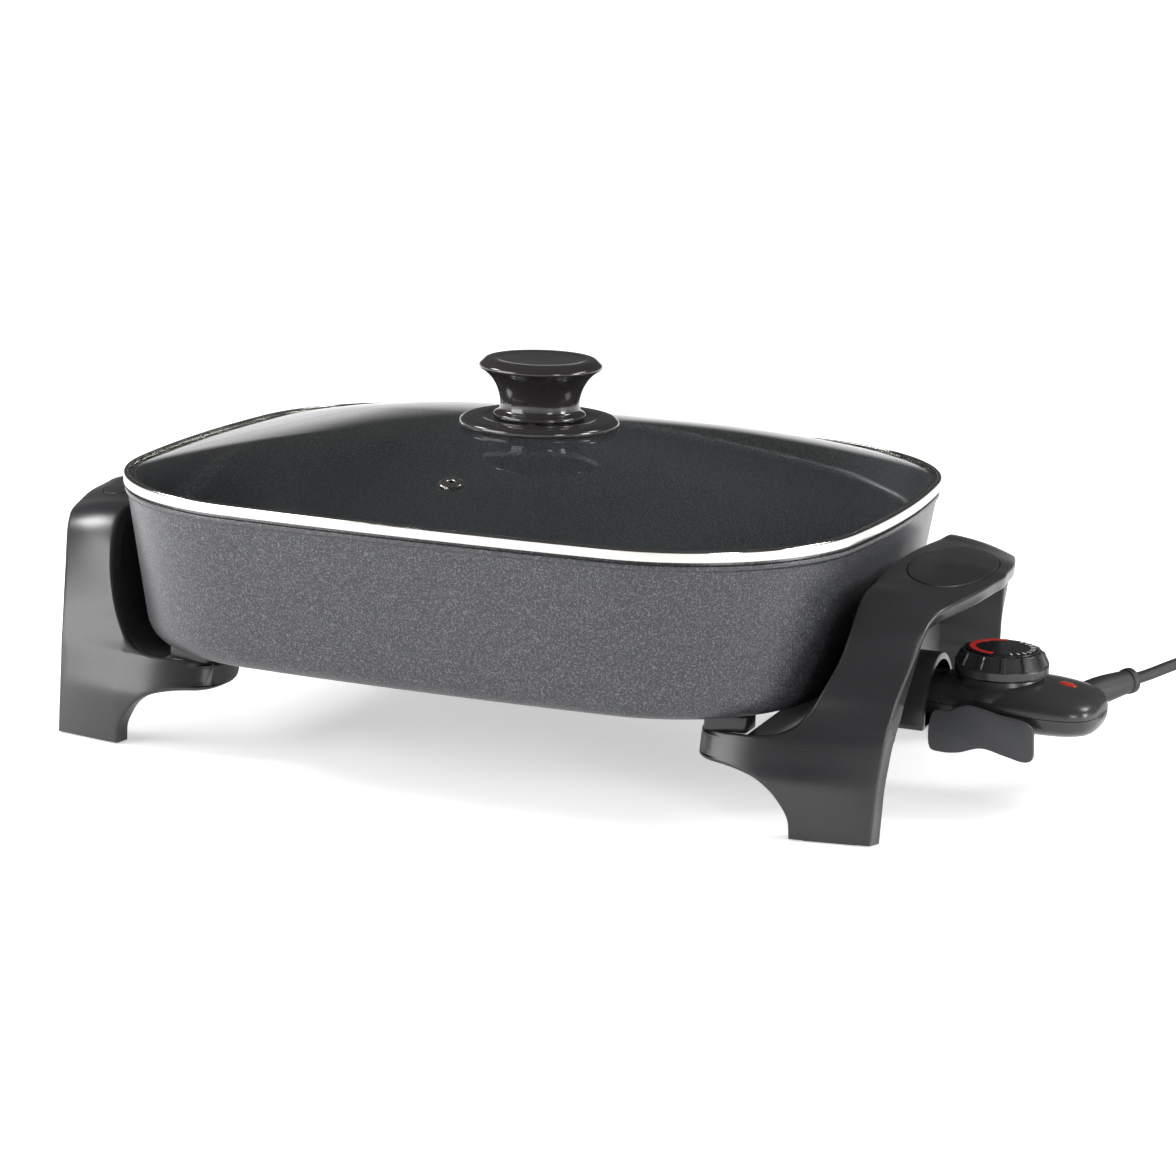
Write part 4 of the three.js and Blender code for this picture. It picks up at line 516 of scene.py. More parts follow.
# The edges of leg and handle, as shares of the way in x, y and z from the foot to the handle's middle
OUTER_EDGE = [
    (0, 1, 0), (0.01, 0.99, 0.075), (0.02, 0.98, 0.148), (0.027, 0.973, 0.195), (0.035, 0.966, 0.24),
    (0.06, 0.947, 0.34), (0.085, 0.93, 0.42), (0.092, 0.925, 0.44), (0.1, 0.917, 0.465), (0.11, 0.91, 0.49),
    (0.145, 0.888, 0.54), (0.19, 0.86, 0.61), (0.328, 0.779, 0.76), (0.435, 0.715, 0.887),
    (0.515, 0.659, 0.937), (0.602, 0.597, 0.958), (0.756, 0.44, 0.977), (0.883, 0.288, 0.99),
    (0.957, 0.11, 0.997), (1, 0, 1),
]
INNER_EDGE = [
    (0, 1, 0), (-0.06, 1.001, 0.075), (-0.235, 1.004, 0.14), (-0.53, 1.009, 0.196), (-0.9, 1.012, 0.24),
    (-0.97, 0.99, 0.316), (-0.93, 0.977, 0.405), (-0.6, 0.965, 0.412), (-0.27, 0.945, 0.436),
    (-0.026, 0.925, 0.465), (0.246, 0.9, 0.53), (0.45, 0.88, 0.6), (0.795, 0.816, 0.744),
    (0.93, 0.762, 0.863), (0.98, 0.707, 0.94), (1, 0.644, 0.983), (0.94, 0.46, 0.993),
    (0.846, 0.293, 0.997), (0.78, 0.11, 1), (0.77, 0, 1),
]
ARM_ROWS = [
    (0.96, 0.92, 0.75, 0.75), (0.87, 0.95, 0.75, 0.74), (0.7, 0.975, 0.778, 0.73), (0.5, 0.985, 0.82, 0.7),
    (0.33, 0.985, 0.862, 0.64), (0.2, 0.98, 0.895, 0.56), (0.08, 0.96, 0.91, 0.45),
]
ARM_REACH, ARM_TOP_Z = 51.5, 47
# The lower moulding in rows from the leg's outer edge to the outline of foot, arm and fillets:
# height at the outer edge, distance along the front from the leg's inner line, height at the outline
BOOT_ROWS = [
    (0.8, 0, 0.8), (9, 1, 10), (15.5, 4.6, 16.6), (21.5, 10.3, 23.4), (26, 17.6, 28.6), (29, 25.2, 31.2),
    (31.3, 34.7, 32.8), (32.8, 45, 33.2), (34, 53, 33.5), (35.2, 61, 33.8), (36.2, 70, 34.3),
    (37.2, 75, 36.4), (40, 76, 41), (43, 75.6, 45), (44, 71, 46.4), (45, 61, 46.9), (46.2, 53, 47.4),
    (47.3, 45, 47.9), (48.3, 35, 48.4), (49.2, 25, 48.8), (50.1, 17, 49.2), (51.1, 11.5, 50),
    (52.2, 6, 51.6), (56, 0, 54.8),
]
BOOT_PLAN = [
    (182.5, 119.5), (172.2, 120.5), (165.5, 120.9), (156.8, 120.3), (146.4, 118.5), (137.7, 115.3),
    (132.8, 110.5), (130.6, 104.5), (129.6, 97), (129.2, 87),
]
LEAN = [
    (0, 0), (14, 0), (28, 0), (37.5, 2.3), (45, 4.2), (48, 5.2), (50, 6.4), (52, 7.6), (54.8, 9.1), (60, 12),
]
PER_ROW = 7
FIRST_FRAME = 9 * PER_ROW
EDGE, COLUMNS = 1.4, 18
FLARE, BACK_EDGE = 3.2, 1.1
ROUND = [(1 - sin(t), 1 - cos(t)) for t in (pi / 2 * k / 4 for k in range(5))]


def unit(v):
    return v / np.linalg.norm(v)


def half_edge(rows, foot, handle):
    return [
        (mix(foot[0], handle[0], x), -foot[1] * y, mix(LEG_BOTTOM_Z, handle[1], z)) for x, y, z in rows
    ]


OUTER_LINE = half_edge(OUTER_EDGE, FOOT_OUTER, HANDLE_OUTER)
INNER_LINE = half_edge(INNER_EDGE, FOOT_INNER, HANDLE_INNER)


def strip_frames():
    rows = [a + b for a, b in zip(OUTER_LINE, INNER_LINE)]
    rows += [(a, -b, c, d, -e, f) for a, b, c, d, e, f in rows[-2::-1]]
    rows = [np.array(r) for r in catmull(rows, PER_ROW)]
    frames = []
    for i, row in enumerate(rows):
        before, after = rows[max(i - 1, 0)], rows[min(i + 1, len(rows) - 1)]
        across = unit(row[3:] - row[:3])
        inwards = np.cross(across, after[:3] + after[3:] - before[:3] - before[3:])
        inwards[2] *= smoothstep(row[2] / 12)
        inwards = unit(inwards)
        if np.dot(inwards, (0, -row[1], HANDLE_OUTER[1] / 2 - row[2])) < 0:
            inwards = -inwards
        height = min(row[2] / HANDLE_OUTER[1], 1)
        thickness = mix(LEG_THICKNESS, HANDLE_THICKNESS, height**2)
        frames.append((row[:3], row[3:], across, inwards, thickness))
    return frames


FRAMES = strip_frames()


def crown(share, z):
    """How far the face swells between its two edges."""
    return mix(0.15, 1.6, smoothstep((z - 75) / 38)) * 4 * share * (1 - share)


def strip_layer(start, depth, columns=16):
    """Part of the strip's top between two depths below its face."""
    rings = []
    for outer, inner, _, inwards, _ in FRAMES[FIRST_FRAME:-FIRST_FRAME]:
        section = []
        for level, way in ((start, 1), (depth, -1)):
            for k in range(columns + 1)[::way]:
                share = k / columns
                section.append(mix(outer, inner, share) + inwards * (level - crown(share, outer[2])))
        rings.append(section)
    return solid(rings)


BOOT_LINE = np.array(catmull(BOOT_PLAN, 10))
BOOT_ARC = np.concatenate([[0], np.cumsum(np.linalg.norm(np.diff(BOOT_LINE, axis=0), axis=1))])
LEAN_LINE = np.array(catmull(LEAN, 8))
LOW_EDGE = np.array([f[0] for f in FRAMES[: 12 * PER_ROW]])


def outer_at(z):
    return np.array([np.interp(z, LOW_EDGE[:, 2], LOW_EDGE[:, axis]) for axis in (0, 1, 2)])


def boot_at(along, z):
    """A point of the lower moulding's face: along the front from the leg's inner line."""
    lean = np.interp(z, LEAN_LINE[:, 0], LEAN_LINE[:, 1])
    if along >= 0:
        x, y = (np.interp(along, BOOT_ARC, BOOT_LINE[:, axis]) for axis in (0, 1))
        return np.array((x, lean - y, z))
    inner = np.array((BOOT_PLAN[0][0], lean - BOOT_PLAN[0][1], z))
    return inner + unit(outer_at(z) - inner) * -along


def boot_inwards(along, z):
    low = max(z, 1.5)
    wide = boot_at(along + 0.6, low) - boot_at(along - 0.6, low)
    normal = unit(np.cross(wide, boot_at(along, low + 0.5) - boot_at(along, low - 0.5)))
    towards = np.array((160, -60, z)) - boot_at(along, z)
    return normal if np.dot(normal, towards) > 0 else -normal


def boot_rings(per=4):
    """Closed sections of the lower moulding from the foot up, each with round edges."""
    rows = np.array(catmull(BOOT_ROWS, per))
    rings = []
    for i, (start, along, z) in enumerate(rows[:-1]):
        way = rows[i + 1] - rows[max(i - 1, 0)]
        side = np.array((-way[2], way[1])) / hypot(way[1], way[2])
        width = np.linalg.norm(boot_at(0, start) - outer_at(start))
        begin, end = np.array((-width, start)), np.array((along, z))
        near, far = begin + (EDGE, 0), end + side * EDGE
        line = [(*(begin + (EDGE * a, 0)), EDGE * b) for a, b in ROUND[::-1]]
        line += [(*mix(near, far, k / COLUMNS), 0) for k in range(1, COLUMNS)]
        line += [(*(end + side * EDGE * a), EDGE * b) for a, b in ROUND]
        swell = (width / (width + along)) ** 2
        ring = []
        for a, h, depth in line:
            share = min(max((a + width) / (along + width), 0), 1)
            ring.append(boot_at(a, h) + boot_inwards(a, h) * (depth - swell * crown(share, h)))
        for k in range(COLUMNS, 0, -1):
            a, h = mix(begin - (FLARE, 0), end, k / COLUMNS)
            thick = mix(LEG_THICKNESS, 4.5, smoothstep(a / 22))
            ring.append(boot_at(a, h) + boot_inwards(a, h) * thick)
        for a, b in ROUND:
            back = BACK_EDGE * a - width - FLARE
            depth = LEG_THICKNESS - BACK_EDGE * b
            ring.append(boot_at(back, start) + boot_inwards(back, start) * depth)
        rings.append([(x, y, max(h, 0)) for x, y, h in ring])
    return rings


def strip_rings():
    rings = []
    for outer, inner, across, inwards, thickness in FRAMES[FIRST_FRAME : (len(FRAMES) + 1) // 2]:
        width = np.linalg.norm(inner - outer)
        line = [(EDGE * a, EDGE * b) for a, b in ROUND[::-1]]
        line += [(mix(EDGE, width - EDGE, k / COLUMNS), 0) for k in range(1, COLUMNS)]
        line += [(width - EDGE * a, EDGE * b) for a, b in ROUND]
        line = [(s, d - crown(s / width, outer[2])) for s, d in line]
        flare = FLARE * (1 - smoothstep((outer[2] - 60) / 45))
        line += [(mix(-flare, width, k / COLUMNS), thickness) for k in range(COLUMNS, 0, -1)]
        line += [(BACK_EDGE * a - flare, thickness - BACK_EDGE * b) for a, b in ROUND]
        rings.append([tuple(outer + across * s + inwards * d) for s, d in line])
    return rings


def make_strip():
    """Leg, handle and leg with the fronts of both arms, in one skin."""
    half = boot_rings() + strip_rings()
    return solid(half + moved(half[-2::-1], lambda p: (p[0], -p[1], p[2])))


def make_arm(side):
    """The thick of the arm behind its front."""
    rings = []
    for reach, front, back, bottom in catmull(ARM_ROWS, 4):
        x = FOOT_INNER[0] - ARM_REACH * reach
        low, high = ARM_TOP_Z * bottom, ARM_TOP_Z - 0.1
        face, rear = -FOOT_INNER[1] * front, -FOOT_INNER[1] * back
        section = rounded([(face, low), (face + 4, high), (rear, high), (rear, low)], 1, 4, True)
        rings.append([(x, -side * y, z) for y, z in section])
    return solid(rings)


def make_web():
    """The wall between the legs, under the handle."""
    rows = [np.array(p) for p in INNER_LINE[6:15]]
    rows.insert(0, rows[0] + (-6.4, 0, -0.4))
    rows.append(np.array((rows[-1][0], rows[-1][1] + 4, HANDLE_INNER[1] - 4.5)))
    rows = [np.array(r) for r in catmull(rows, 5)]
    rings = []
    for i, p in enumerate(rows):
        a, b = rows[max(i - 1, 0)], rows[min(i + 1, len(rows) - 1)]
        out = unit(np.array((b[2] - a[2], 0, a[0] - b[0])))
        side = abs(p[1]) - 4
        face, back = p + out * 2.5, p - out * 0.5
        rings.append([(q[0], y, q[2]) for q, y in ((face, -side), (back, -side), (back, side), (face, side))])
    return solid(rings)


GRIP_X, GRIP_HALF = 225, (20, 46)


def grip_cutter(grow):
    half_x, half_y = (half + grow for half in GRIP_HALF)
    return prism([(GRIP_X + half_x * c, half_y * s) for c, s in circle(120)], 60, 160)


def arch_rings(half_width, bottom, top, stations, steps=40, soft=3.0):
    """Rings of a round-topped arch. Each station is (x, inset)."""
    rings = []
    springing = top - half_width
    for x, inset in stations:
        h, low = half_width - inset, bottom + inset
        line = [(h * cos(a), springing + h * sin(a)) for a in np.linspace(0, pi, steps + 1)]
        foot = rounded([(-h, springing), (-h, low, soft), (h, low, soft), (h, springing)], soft, 5)
        rings.append([(x, y, z) for y, z in line + foot[1:-1]])
    return rings


SPACER_AT, RECESS_Z = (145.5, 103), 33.4


def make_brackets():
    strip = joined(make_strip(), make_arm(-1), make_arm(1), make_web())
    x, y = SPACER_AT
    cuts = [upright(10, 20, RECESS_Z, at) for at in ((x, -y), (x, y))]
    less(strip, common(strip_layer(-4, 2.1), grip_cutter(0.55)), *cuts)
    left = mirrored(strip)
    less(strip, solid(arch_rings(28.3, -10, 70.6, [(100, 0), (221, 0)])))
    grip = bevel(common(strip_layer(-0.3, 1.75), grip_cutter(0)), 0.5, 50)
    for side, moulding, insert in (("left", left, mirrored(grip)), ("right", strip, grip)):
        piece(moulding, f"{side}_bracket_moulding", "bracket_black", "base", [f"{side}_bracket"], sharp=38)
        piece(insert, f"{side}_grip", "grip_black", "base", [f"{side}_grip_insert"], sharp=38)


CONTACT_Y = 11


def make_shroud():
    half, top, bottom, wall = 28, 70.3, 36, 3.4
    back, front = 189.5, 221
    mouth = [(front - 1.2, 0), (front - 0.35, 0.35), (front, 1.2)]
    outer = solid(arch_rings(half, bottom, top, [(back, 1.2), (back + 0.4, 0.4), (back + 1.2, 0), *mouth]))
    inner = solid(arch_rings(half - wall, bottom + 1.7, top - wall, [(back + wall, 0), (front + 5, 0)]))
    flange = rounded([(-52, 36, 1.5), (52, 36, 1.5), (52, 75, 6), (-52, 75, 6)], 2, 5, True)
    joined(outer, bevel(solid([[(x, y, z) for y, z in flange] for x in (203, 206)]), 0.5))
    holes = [bore(r, back - 5, back + 6, y) for r, y in ((5.2, 0), (4.5, -CONTACT_Y), (4.5, CONTACT_Y))]
    less(outer, inner, *holes)
    piece(outer, "socket_shroud", "bracket_black", "base", ["probe_shroud"], sharp=38)


# ---- lid

BAND_Z = RIM_Z + 0.3
BAND_TOP_Z = BAND_Z + 5.5
GLASS_Z = BAND_Z + 1.1
GLASS_THICKNESS, GLASS_FLANGE, DOME_RISE = 3.6, 9, 24
DOME_TOP_Z = BAND_TOP_Z + DOME_RISE
DOME_SIZE = (PAN_LENGTH + PAN_WIDTH) / 4 - GLASS_FLANGE
VENT_Y = -112


def dome_z(share):
    return BAND_TOP_Z + DOME_RISE * (1 - share**2)


def dome_top_at(x, y):
    return dome_z(hypot(x / (PAN_LENGTH / 2 - GLASS_FLANGE), y / (PAN_WIDTH / 2 - GLASS_FLANGE)))


def dome_ring(share, z):
    """The pan's outline drawn in to a share of its size, and round near the middle."""
    blend = smoothstep((0.6 - share) / 0.5)
    ring = []
    for x, y, _ in pan_outline(GLASS_FLANGE, z):
        grow = DOME_SIZE / hypot(x, y)
        ring.append((mix(x, x * grow, blend) * share, mix(y, y * grow, blend) * share, z))
    return ring


def at_vent(rings):
    step = 4
    top = dome_top_at(0, VENT_Y)
    slope = atan((dome_top_at(0, VENT_Y + step) - dome_top_at(0, VENT_Y - step)) / (2 * step))
    c, s = cos(slope), sin(slope)
    return moved(rings, lambda p: (p[0], VENT_Y + c * p[1] - s * p[2], top + s * p[1] + c * p[2]))


def make_glass():
    shares = [mix(1, 4 / DOME_SIZE, (k / 26) ** 0.9) for k in range(1, 27)]
    top = [dome_ring(s, dome_z(s)) for s in shares]
    under = [dome_ring(s, dome_z(s) - GLASS_THICKNESS) for s in shares][::-1]
    edge = [(1.4, 0), (1.1, 0.4), (1.1, 2.6), (1.6, 3.0), (4.5, 3.1), (6.5, 3.6)]
    edge = pan_rings([(inset, GLASS_Z + z) for inset, z in edge] + [(GLASS_FLANGE, BAND_TOP_Z)])
    end = pan_rings([(GLASS_FLANGE + 2.6, GLASS_Z + 0.5), (GLASS_FLANGE, GLASS_Z + 0.1)])
    dome = solid(edge + top + under + end, True)
    less(dome, solid(at_vent(turned(corners(0, -8, 4, 8), 40))))
    piece(dome, "lid_dome", "glass", "lid", ["lid_glass"], sharp=50)


def make_band():
    low, high = BAND_Z, BAND_TOP_Z
    profile = [
        (0, low, 0.4), (0, high, 1.3), (2.4, high, 0.3), (2.4, high - 0.8, 0.2), (0.8, high - 0.8, 0.3),
        (0.8, low + 0.8, 0.3), (7, low + 0.8, 0.6), (7.8, low - 5, 0.3), (7.0, low - 5, 0.3), (6.2, low, 0.6),
    ]
    band = solid(pan_rings(rounded(profile, 0.3, 5, True)), True)
    piece(band, "lid_band", "bright_steel", "lid", ["lid_rim_band"], sharp=50)


def make_knob():
    skirt = dome_top_at(41.5, 0) + 0.3
    under, plate_top, low, high = 168.2, 170.6, 170.9, 201.2
    plate = [
        (2.8, under), (37.5, under), (37.5, skirt), (41.5, skirt, 0.4), (41.5, 168.9, 0.9),
        (39.2, plate_top, 0.9), (30, plate_top, 2), (28.5, plate_top - 0.4, 1), (2.8, plate_top - 0.4),
    ]
    plate = lathe(plate, 144, closed=True)
    piece(plate, "knob_plate", "knob_black", "lid", ["knob_base_plate"], sharp=40)
    profile = [
        (0, low + 16), (2.8, low + 16), (2.8, low), (24, low, 0.4), (24, low + 1.8, 0.6), (20.9, low + 3.4, 1.5),
        (20.73, 179.4, 3), (21.42, 182.9, 3), (22.8, 186.8, 3), (25.1, 190.7, 3), (28.3, 193.95, 3),
        (32, 196.4, 0.6), (32, 198, 0.7), (28.5, high, 1.1), (24, high, 1), (22, high - 0.3, 1), (0, high - 0.3),
    ]
    piece(lathe(profile, 144), "knob", "knob_black", "lid", ["lid_knob"], sharp=40)
    gasket = lathe(corners(28, DOME_TOP_Z, 36, under - 0.3), 96, 0.25, 3, True)
    piece(gasket, "gasket_ring", "silicone", "lid", ["knob_gasket"])
    top = DOME_TOP_Z - GLASS_THICKNESS - 0.3
    washer = lathe(corners(2.8, top - 1.6, 10, top), 72, 0.3, 3, True)
    piece(washer, "inner_washer", "plain_steel", "lid", ["knob_washer"])
    head = top - 1.9
    screw = [(0, head - 3), (4.7, head - 3, 0.8), (5, head), (2.5, head), (2.5, low + 15.7), (0, low + 15.7)]
    slot = [[(x, y, z) for y, z in corners(-0.6, head - 4, 0.6, head - 1.6)] for x in (-6, 6)]
    screw = less(lathe(screw, 64), solid(slot))
    piece(screw, "lid_screw", "plain_steel", "lid", ["knob_screw"])


def make_vent():
    profile = [
        (2, 1.2, 0.5), (4.8, 1.2, 0.7), (6, 0.3, 0.2), (3.7, 0.3, 0), (3.7, -3.9, 0),
        (6, -3.9, 0.2), (4.8, -4.8, 0.5), (2, -4.8, 0.5),
    ]
    ring = solid(at_vent(turned(rounded(profile, 0.3, 4, True), 64)), True)
    piece(ring, "vent_ring", "bright_steel", "lid", ["vent_eyelet"], sharp=45)


# ---- heat control

PROBE_X, PROBE_LENGTH = 206, 99.5
PROBE_UP, PROBE_DOWN, PROBE_HALF = 14, 12, 28
# Shares of length, half width, height above the seam and depth below it
PROBE_ROWS = [
    (0, 0.66, 0.7, 0.8), (0.16, 0.7, 0.76, 0.86), (0.28, 0.8, 0.92, 0.95), (0.45, 0.915, 1, 1),
    (0.62, 0.985, 0.99, 1), (0.76, 1, 0.92, 1), (0.87, 0.95, 0.79, 0.95), (0.94, 0.8, 0.62, 0.84),
    (0.98, 0.54, 0.41, 0.6), (1, 0.2, 0.16, 0.24),
]
PROBE_LINE = catmull([(along * 3, *rest) for along, *rest in PROBE_ROWS], 7)
SHELL = 2.2
RELIEF_ROOT, RELIEF_TIP = Vector((289, 22, 51.6)), Vector((307.2, 52.7, 55))
DIAL_X = 252.3
LENS_X = 286
LEVER_PIN = (238, -12)
POST_X, POST_Y = 268, 13


def probe_body(sign, inset=0.0, steps=40):
    """The control's upper (1) or lower (-1) half."""
    height = PROBE_UP if sign > 0 else PROBE_DOWN
    level = AXIS_Z + (0.25 if sign > 0 else -0.1) - (sign * 3 if inset else 0)
    rings = []
    for k, (along, width, top, bottom) in enumerate(PROBE_LINE):
        x = PROBE_X + PROBE_LENGTH * along / 3
        if k == 0:
            x += inset
        if k == len(PROBE_LINE) - 1:
            x -= inset
        half = max(PROBE_HALF * width - inset, 0.5)
        rise = max(height * (top if sign > 0 else bottom) - inset, 0.4)
        ring = [(x, half, level)]
        for angle in (pi * i / steps for i in range(1, steps)):
            c, s = cos(angle), sin(angle)
            y = copysign(abs(c) ** 0.78, c) * half
            ring.append((x, y, AXIS_Z + sign * (0.5 + (rise - 0.5) * s**0.78)))
        rings.append([*ring, (x, -half, level)])
    return solid(rings)


def hollow_half(sign):
    holes = [bore(r, 200, 225, y) for y, r in ((-CONTACT_Y, 4.3), (CONTACT_Y, 4.3), (0, 3.3))]
    return less(probe_body(sign), probe_body(sign, SHELL), *holes)


def make_housing():
    upper = hollow_half(1)
    collar = [(0, 54), (26, 54), (25.2, 58.8, 2.5), (22, 60.8, 2.5), (21.4, 64.3, 0.4), (0, 64.3)]
    joined(upper, lathe(collar, 96, 1, 6, at=(DIAL_X, 0)))
    less(upper, upright(6.6, 55, 70, (DIAL_X, 0)))
    piece(upper, "control_upper_shell", "control_black", "control", ["probe_upper_housing"], sharp=35)
    lower = hollow_half(-1)
    for at in ((POST_X, -POST_Y), (POST_X, POST_Y)):
        joined(lower, common(upright(8, 38, 50, at), probe_body(-1)))
        less(lower, upright(6, 30, 42, at))
    less(lower, upright(4.2, 30, 42.3, LEVER_PIN))
    less(lower, prism(corners(291, -16, 301, -13), 36, 41.5))
    piece(lower, "control_lower_shell", "control_black", "control", ["probe_lower_housing"], sharp=35)


def probe_top_at(x):
    share = (x - PROBE_X) / PROBE_LENGTH
    return AXIS_Z + PROBE_UP * float(np.interp(share * 3, [r[0] for r in PROBE_LINE], [r[2] for r in PROBE_LINE]))


def make_lens():
    z = probe_top_at(LENS_X)
    rows = [(sin(a), -cos(a)) for a in (pi * k / 16 for k in range(17))]
    ball = moved(turned(rows, 48), lambda p: (p[0] * 5.6, p[1] * 3.3, p[2] * 2.6))
    tilt = atan((probe_top_at(LENS_X + 4) - probe_top_at(LENS_X - 4)) / 8)
    c, s = cos(tilt), sin(tilt)
    ball = moved(ball, lambda p: (LENS_X + c * p[0] - s * p[2], p[1], z - 1.6 + s * p[0] + c * p[2]))
    piece(solid(ball), "signal_lens", "red_lens", "control", ["indicator_lens"], sharp=60)


def sector(inner, outer, low, high, angles):
    """Part of a flat ring round the dial's axis."""
    rings = []
    for c, s in ((cos(a), sin(a)) for a in angles):
        rings.append([(DIAL_X + r * c, r * s, z) for r, z in corners(inner, low, outer, high)])
    return solid(rings)


def make_dial():
    low, skirt, top = 65, 69.4, 76.2
    radius, face = 23.5, 19.25
    ribs = 12

    def ribbed(r, z, angle):
        if r < face - 0.5 or z < skirt + 0.2:
            return r
        near = abs(angle / (2 * pi) * ribs % 1 - 0.5) * 2
        rise = 1 - smoothstep((near - 0.16) / 0.08)
        return r + 1.1 * rise * smoothstep((z - skirt) / 0.8) * (1 if z < top - 0.3 else 0.7)

    profile = [
        (0, low + 5), (3.3, low + 5), (3.3, low, 0), (radius, low, 0.5), (radius, skirt, 0.7),
        (radius - 0.9, skirt + 0.35, 0.3), (face + 0.3, top, 0.8), (face - 0.9, top, 0.2),
        (face - 1, top - 0.25, 0.1), (0, top - 0.25),
    ]
    line = rounded(profile, 0.3, 4)
    fine = [line[0]]
    for a, b in zip(line, line[1:]):
        parts = 5 if abs(a[1] - b[1]) > 2 and a[0] > 15 else 1
        fine += [(mix(a[0], b[0], k / parts), mix(a[1], b[1], k / parts)) for k in range(1, parts + 1)]
    knob = solid(turned(fine, 288, (DIAL_X, 0), ribbed))
    piece(knob, "control_dial", "control_black", "dial", ["temperature_dial"], sharp=40)
    under, high = top + 0.05, top + 1.1
    disc = [(0, under), (18.1, under), (18.1, high - 0.4, 0.5), (16.5, high, 0.5), (0, high)]
    disc = lathe(disc, 128, 0.2, at=(DIAL_X, 0))
    piece(disc, "dial_disc", "dial_face", "dial", ["dial_scale_disc"])

    print_low, print_high = high - 0.1, high + 0.12
    red = sector(13.6, 16.6, print_low, print_high, [radians(mix(95, 265, i / 48)) for i in range(49)])
    piece(red, "dial_ring_red", "red_print", "dial")
    ticks = []
    for turn in (radians(300 + k * 14) for k in range(10)):
        ticks.append(sector(13.9, 16.4, print_low, print_high, (turn - 0.028, turn + 0.028)))
    piece(joined(*ticks), "dial_ticks", "white_print", "dial")
    spindle = [
        (0, 54.2), (3, 54.2, 0.4), (3, 59.7, 0), (5, 59.7, 0.3), (5, 61.2, 0.3), (3, 61.2, 0),
        (3, 69.7, 0.4), (0, 69.7),
    ]
    piece(lathe(spindle, 48, at=(DIAL_X, 0)), "spindle", "plain_steel", "dial", ["dial_spindle"])


LEVER_OUTLINE = [
    (0, 0.06), (0.12, 0), (0.28, 0.03), (0.5, 0.17), (0.72, 0.08), (0.93, 0), (0.995, 0.07), (1, 0.42),
    (0.985, 0.68), (0.92, 0.79), (0.66, 0.88), (0.46, 0.97), (0.36, 1), (0.27, 0.97), (0.17, 0.86),
    (0.02, 0.82),
]
LEVER_Y = -33


def make_lever():
    line = np.array(catmull([(226.6 + 52 * x, 29 + 25 * z) for x, z in LEVER_OUTLINE], 7, True))
    way = np.roll(line, -1, 0) - np.roll(line, 1, 0)
    way /= np.linalg.norm(way, axis=1)[:, None]
    inward = np.stack([-way[:, 1], way[:, 0]], 1)
    rings = []
    for y, inset in ((-1.5, 0.8), (-1.3, 0.25), (-0.8, 0), (0.8, 0), (1.3, 0.25), (1.5, 0.8)):
        rings.append([(p[0], LEVER_Y + y, p[1]) for p in line + inward * inset])
    arm = prism(rounded(corners(232.5, LEVER_Y, 243.5, -6.5), 5.4, 8, True), 34.4, 37.4)
    blade = joined(solid(rings), bevel(arm, 0.4))
    less(blade, upright(4.2, 30, 40, LEVER_PIN))
    piece(blade, "lever_blade", "lever_grey", "lever", ["release_lever"], sharp=38)
    pin = bolt((3.2, 0.5), 1.8, 32.7, 34.1, 42, 48, LEVER_PIN)
    piece(pin, "pivot_pin", "plain_steel", "control", ["lever_pin"])


def make_relief():
    way = RELIEF_TIP - RELIEF_ROOT
    turn = Vector((0, 0, 1)).rotation_difference(way.normalized()).to_matrix()
    length = way.length
    ring = length - 4.8
    profile = [
        (0, 0), (6.5, 0, 0.4), (7, 9, 2), (7, 16, 2), (6, ring - 0.8, 0.6), (5.9, ring, 0.3),
        (6.6, ring + 0.3, 0.5), (6.65, length - 0.9, 0.7), (5.4, length - 0.1, 0.3), (3.2, length, 0.2),
        (3.1, length - 0.6, 0), (0, length - 0.6),
    ]
    rings = turned(rounded(profile, 0.3, 5), 64)
    body = solid(moved(rings, lambda p: tuple(turn @ Vector(p) + RELIEF_ROOT)))
    piece(body, "cord_relief", "cord_black", "control", ["strain_relief"], sharp=45)


# ---- cord

CORD = 6
CORD_ROUTE = [
    (307.36, 52.98, 55.03), (313, 61.4, 56.2), (322, 77.5, 58.6), (330, 96, 59.4), (334, 115, 56.5),
    (333.6, 136, 47.5), (330, 158, 35.5), (328.5, 179, 22.5), (334, 198, 11.5), (346, 211.5, 6),
]
COIL_CENTRE, COIL_RADIUS, COIL_PITCH, COIL_RISE, COIL_DIP = (378, 176), 42.4, 6.6, 6.8, 2.8
COIL_LOOPS, COIL_STEPS, COIL_Z = 5, 48, 4.4
# The plug from the cord on: distance, width and height
PLUG_ROWS = [
    (0.3, 6.4, 6.4), (0.9, 7, 7), (5, 7, 7), (5.6, 6.2, 6.2), (7.4, 6.2, 6.2), (8, 7.2, 7.2), (11, 7.2, 7.2),
    (11.6, 6.4, 6.4), (13.4, 6.4, 6.4), (14, 7.6, 7.6), (17, 7.8, 7.8), (17.6, 6.8, 6.8), (19.4, 6.8, 6.8),
    (20, 8.2, 8.2), (25, 9.5, 9), (28, 13.5, 11.5), (31.5, 19.5, 14.8), (35, 23, 16.6), (40, 23.8, 17),
    (48, 23.2, 16.6), (55, 23.6, 17), (56.5, 23, 16.4), (57.3, 21.5, 15),
]
TIE_THICKNESS, TIE_HALF = 0.9, 4


def coil_point(turns):
    """Turns go inwards on the worktop, then outwards again on top of the first ones."""
    inwards, outwards = min(turns, COIL_LOOPS / 2), max(turns - COIL_LOOPS / 2, 0)
    rising = min(max((turns - COIL_LOOPS / 2 + 0.5) * 2, 0), 1)
    radius = COIL_RADIUS - COIL_PITCH * (inwards - outwards) - COIL_DIP * sin(rising * pi)
    angle = pi / 2 - turns * 2 * pi
    x, y = COIL_CENTRE[0] + radius * cos(angle), COIL_CENTRE[1] + radius * sin(angle)
    return Vector((x, y, COIL_Z + COIL_RISE * smoothstep(rising)))


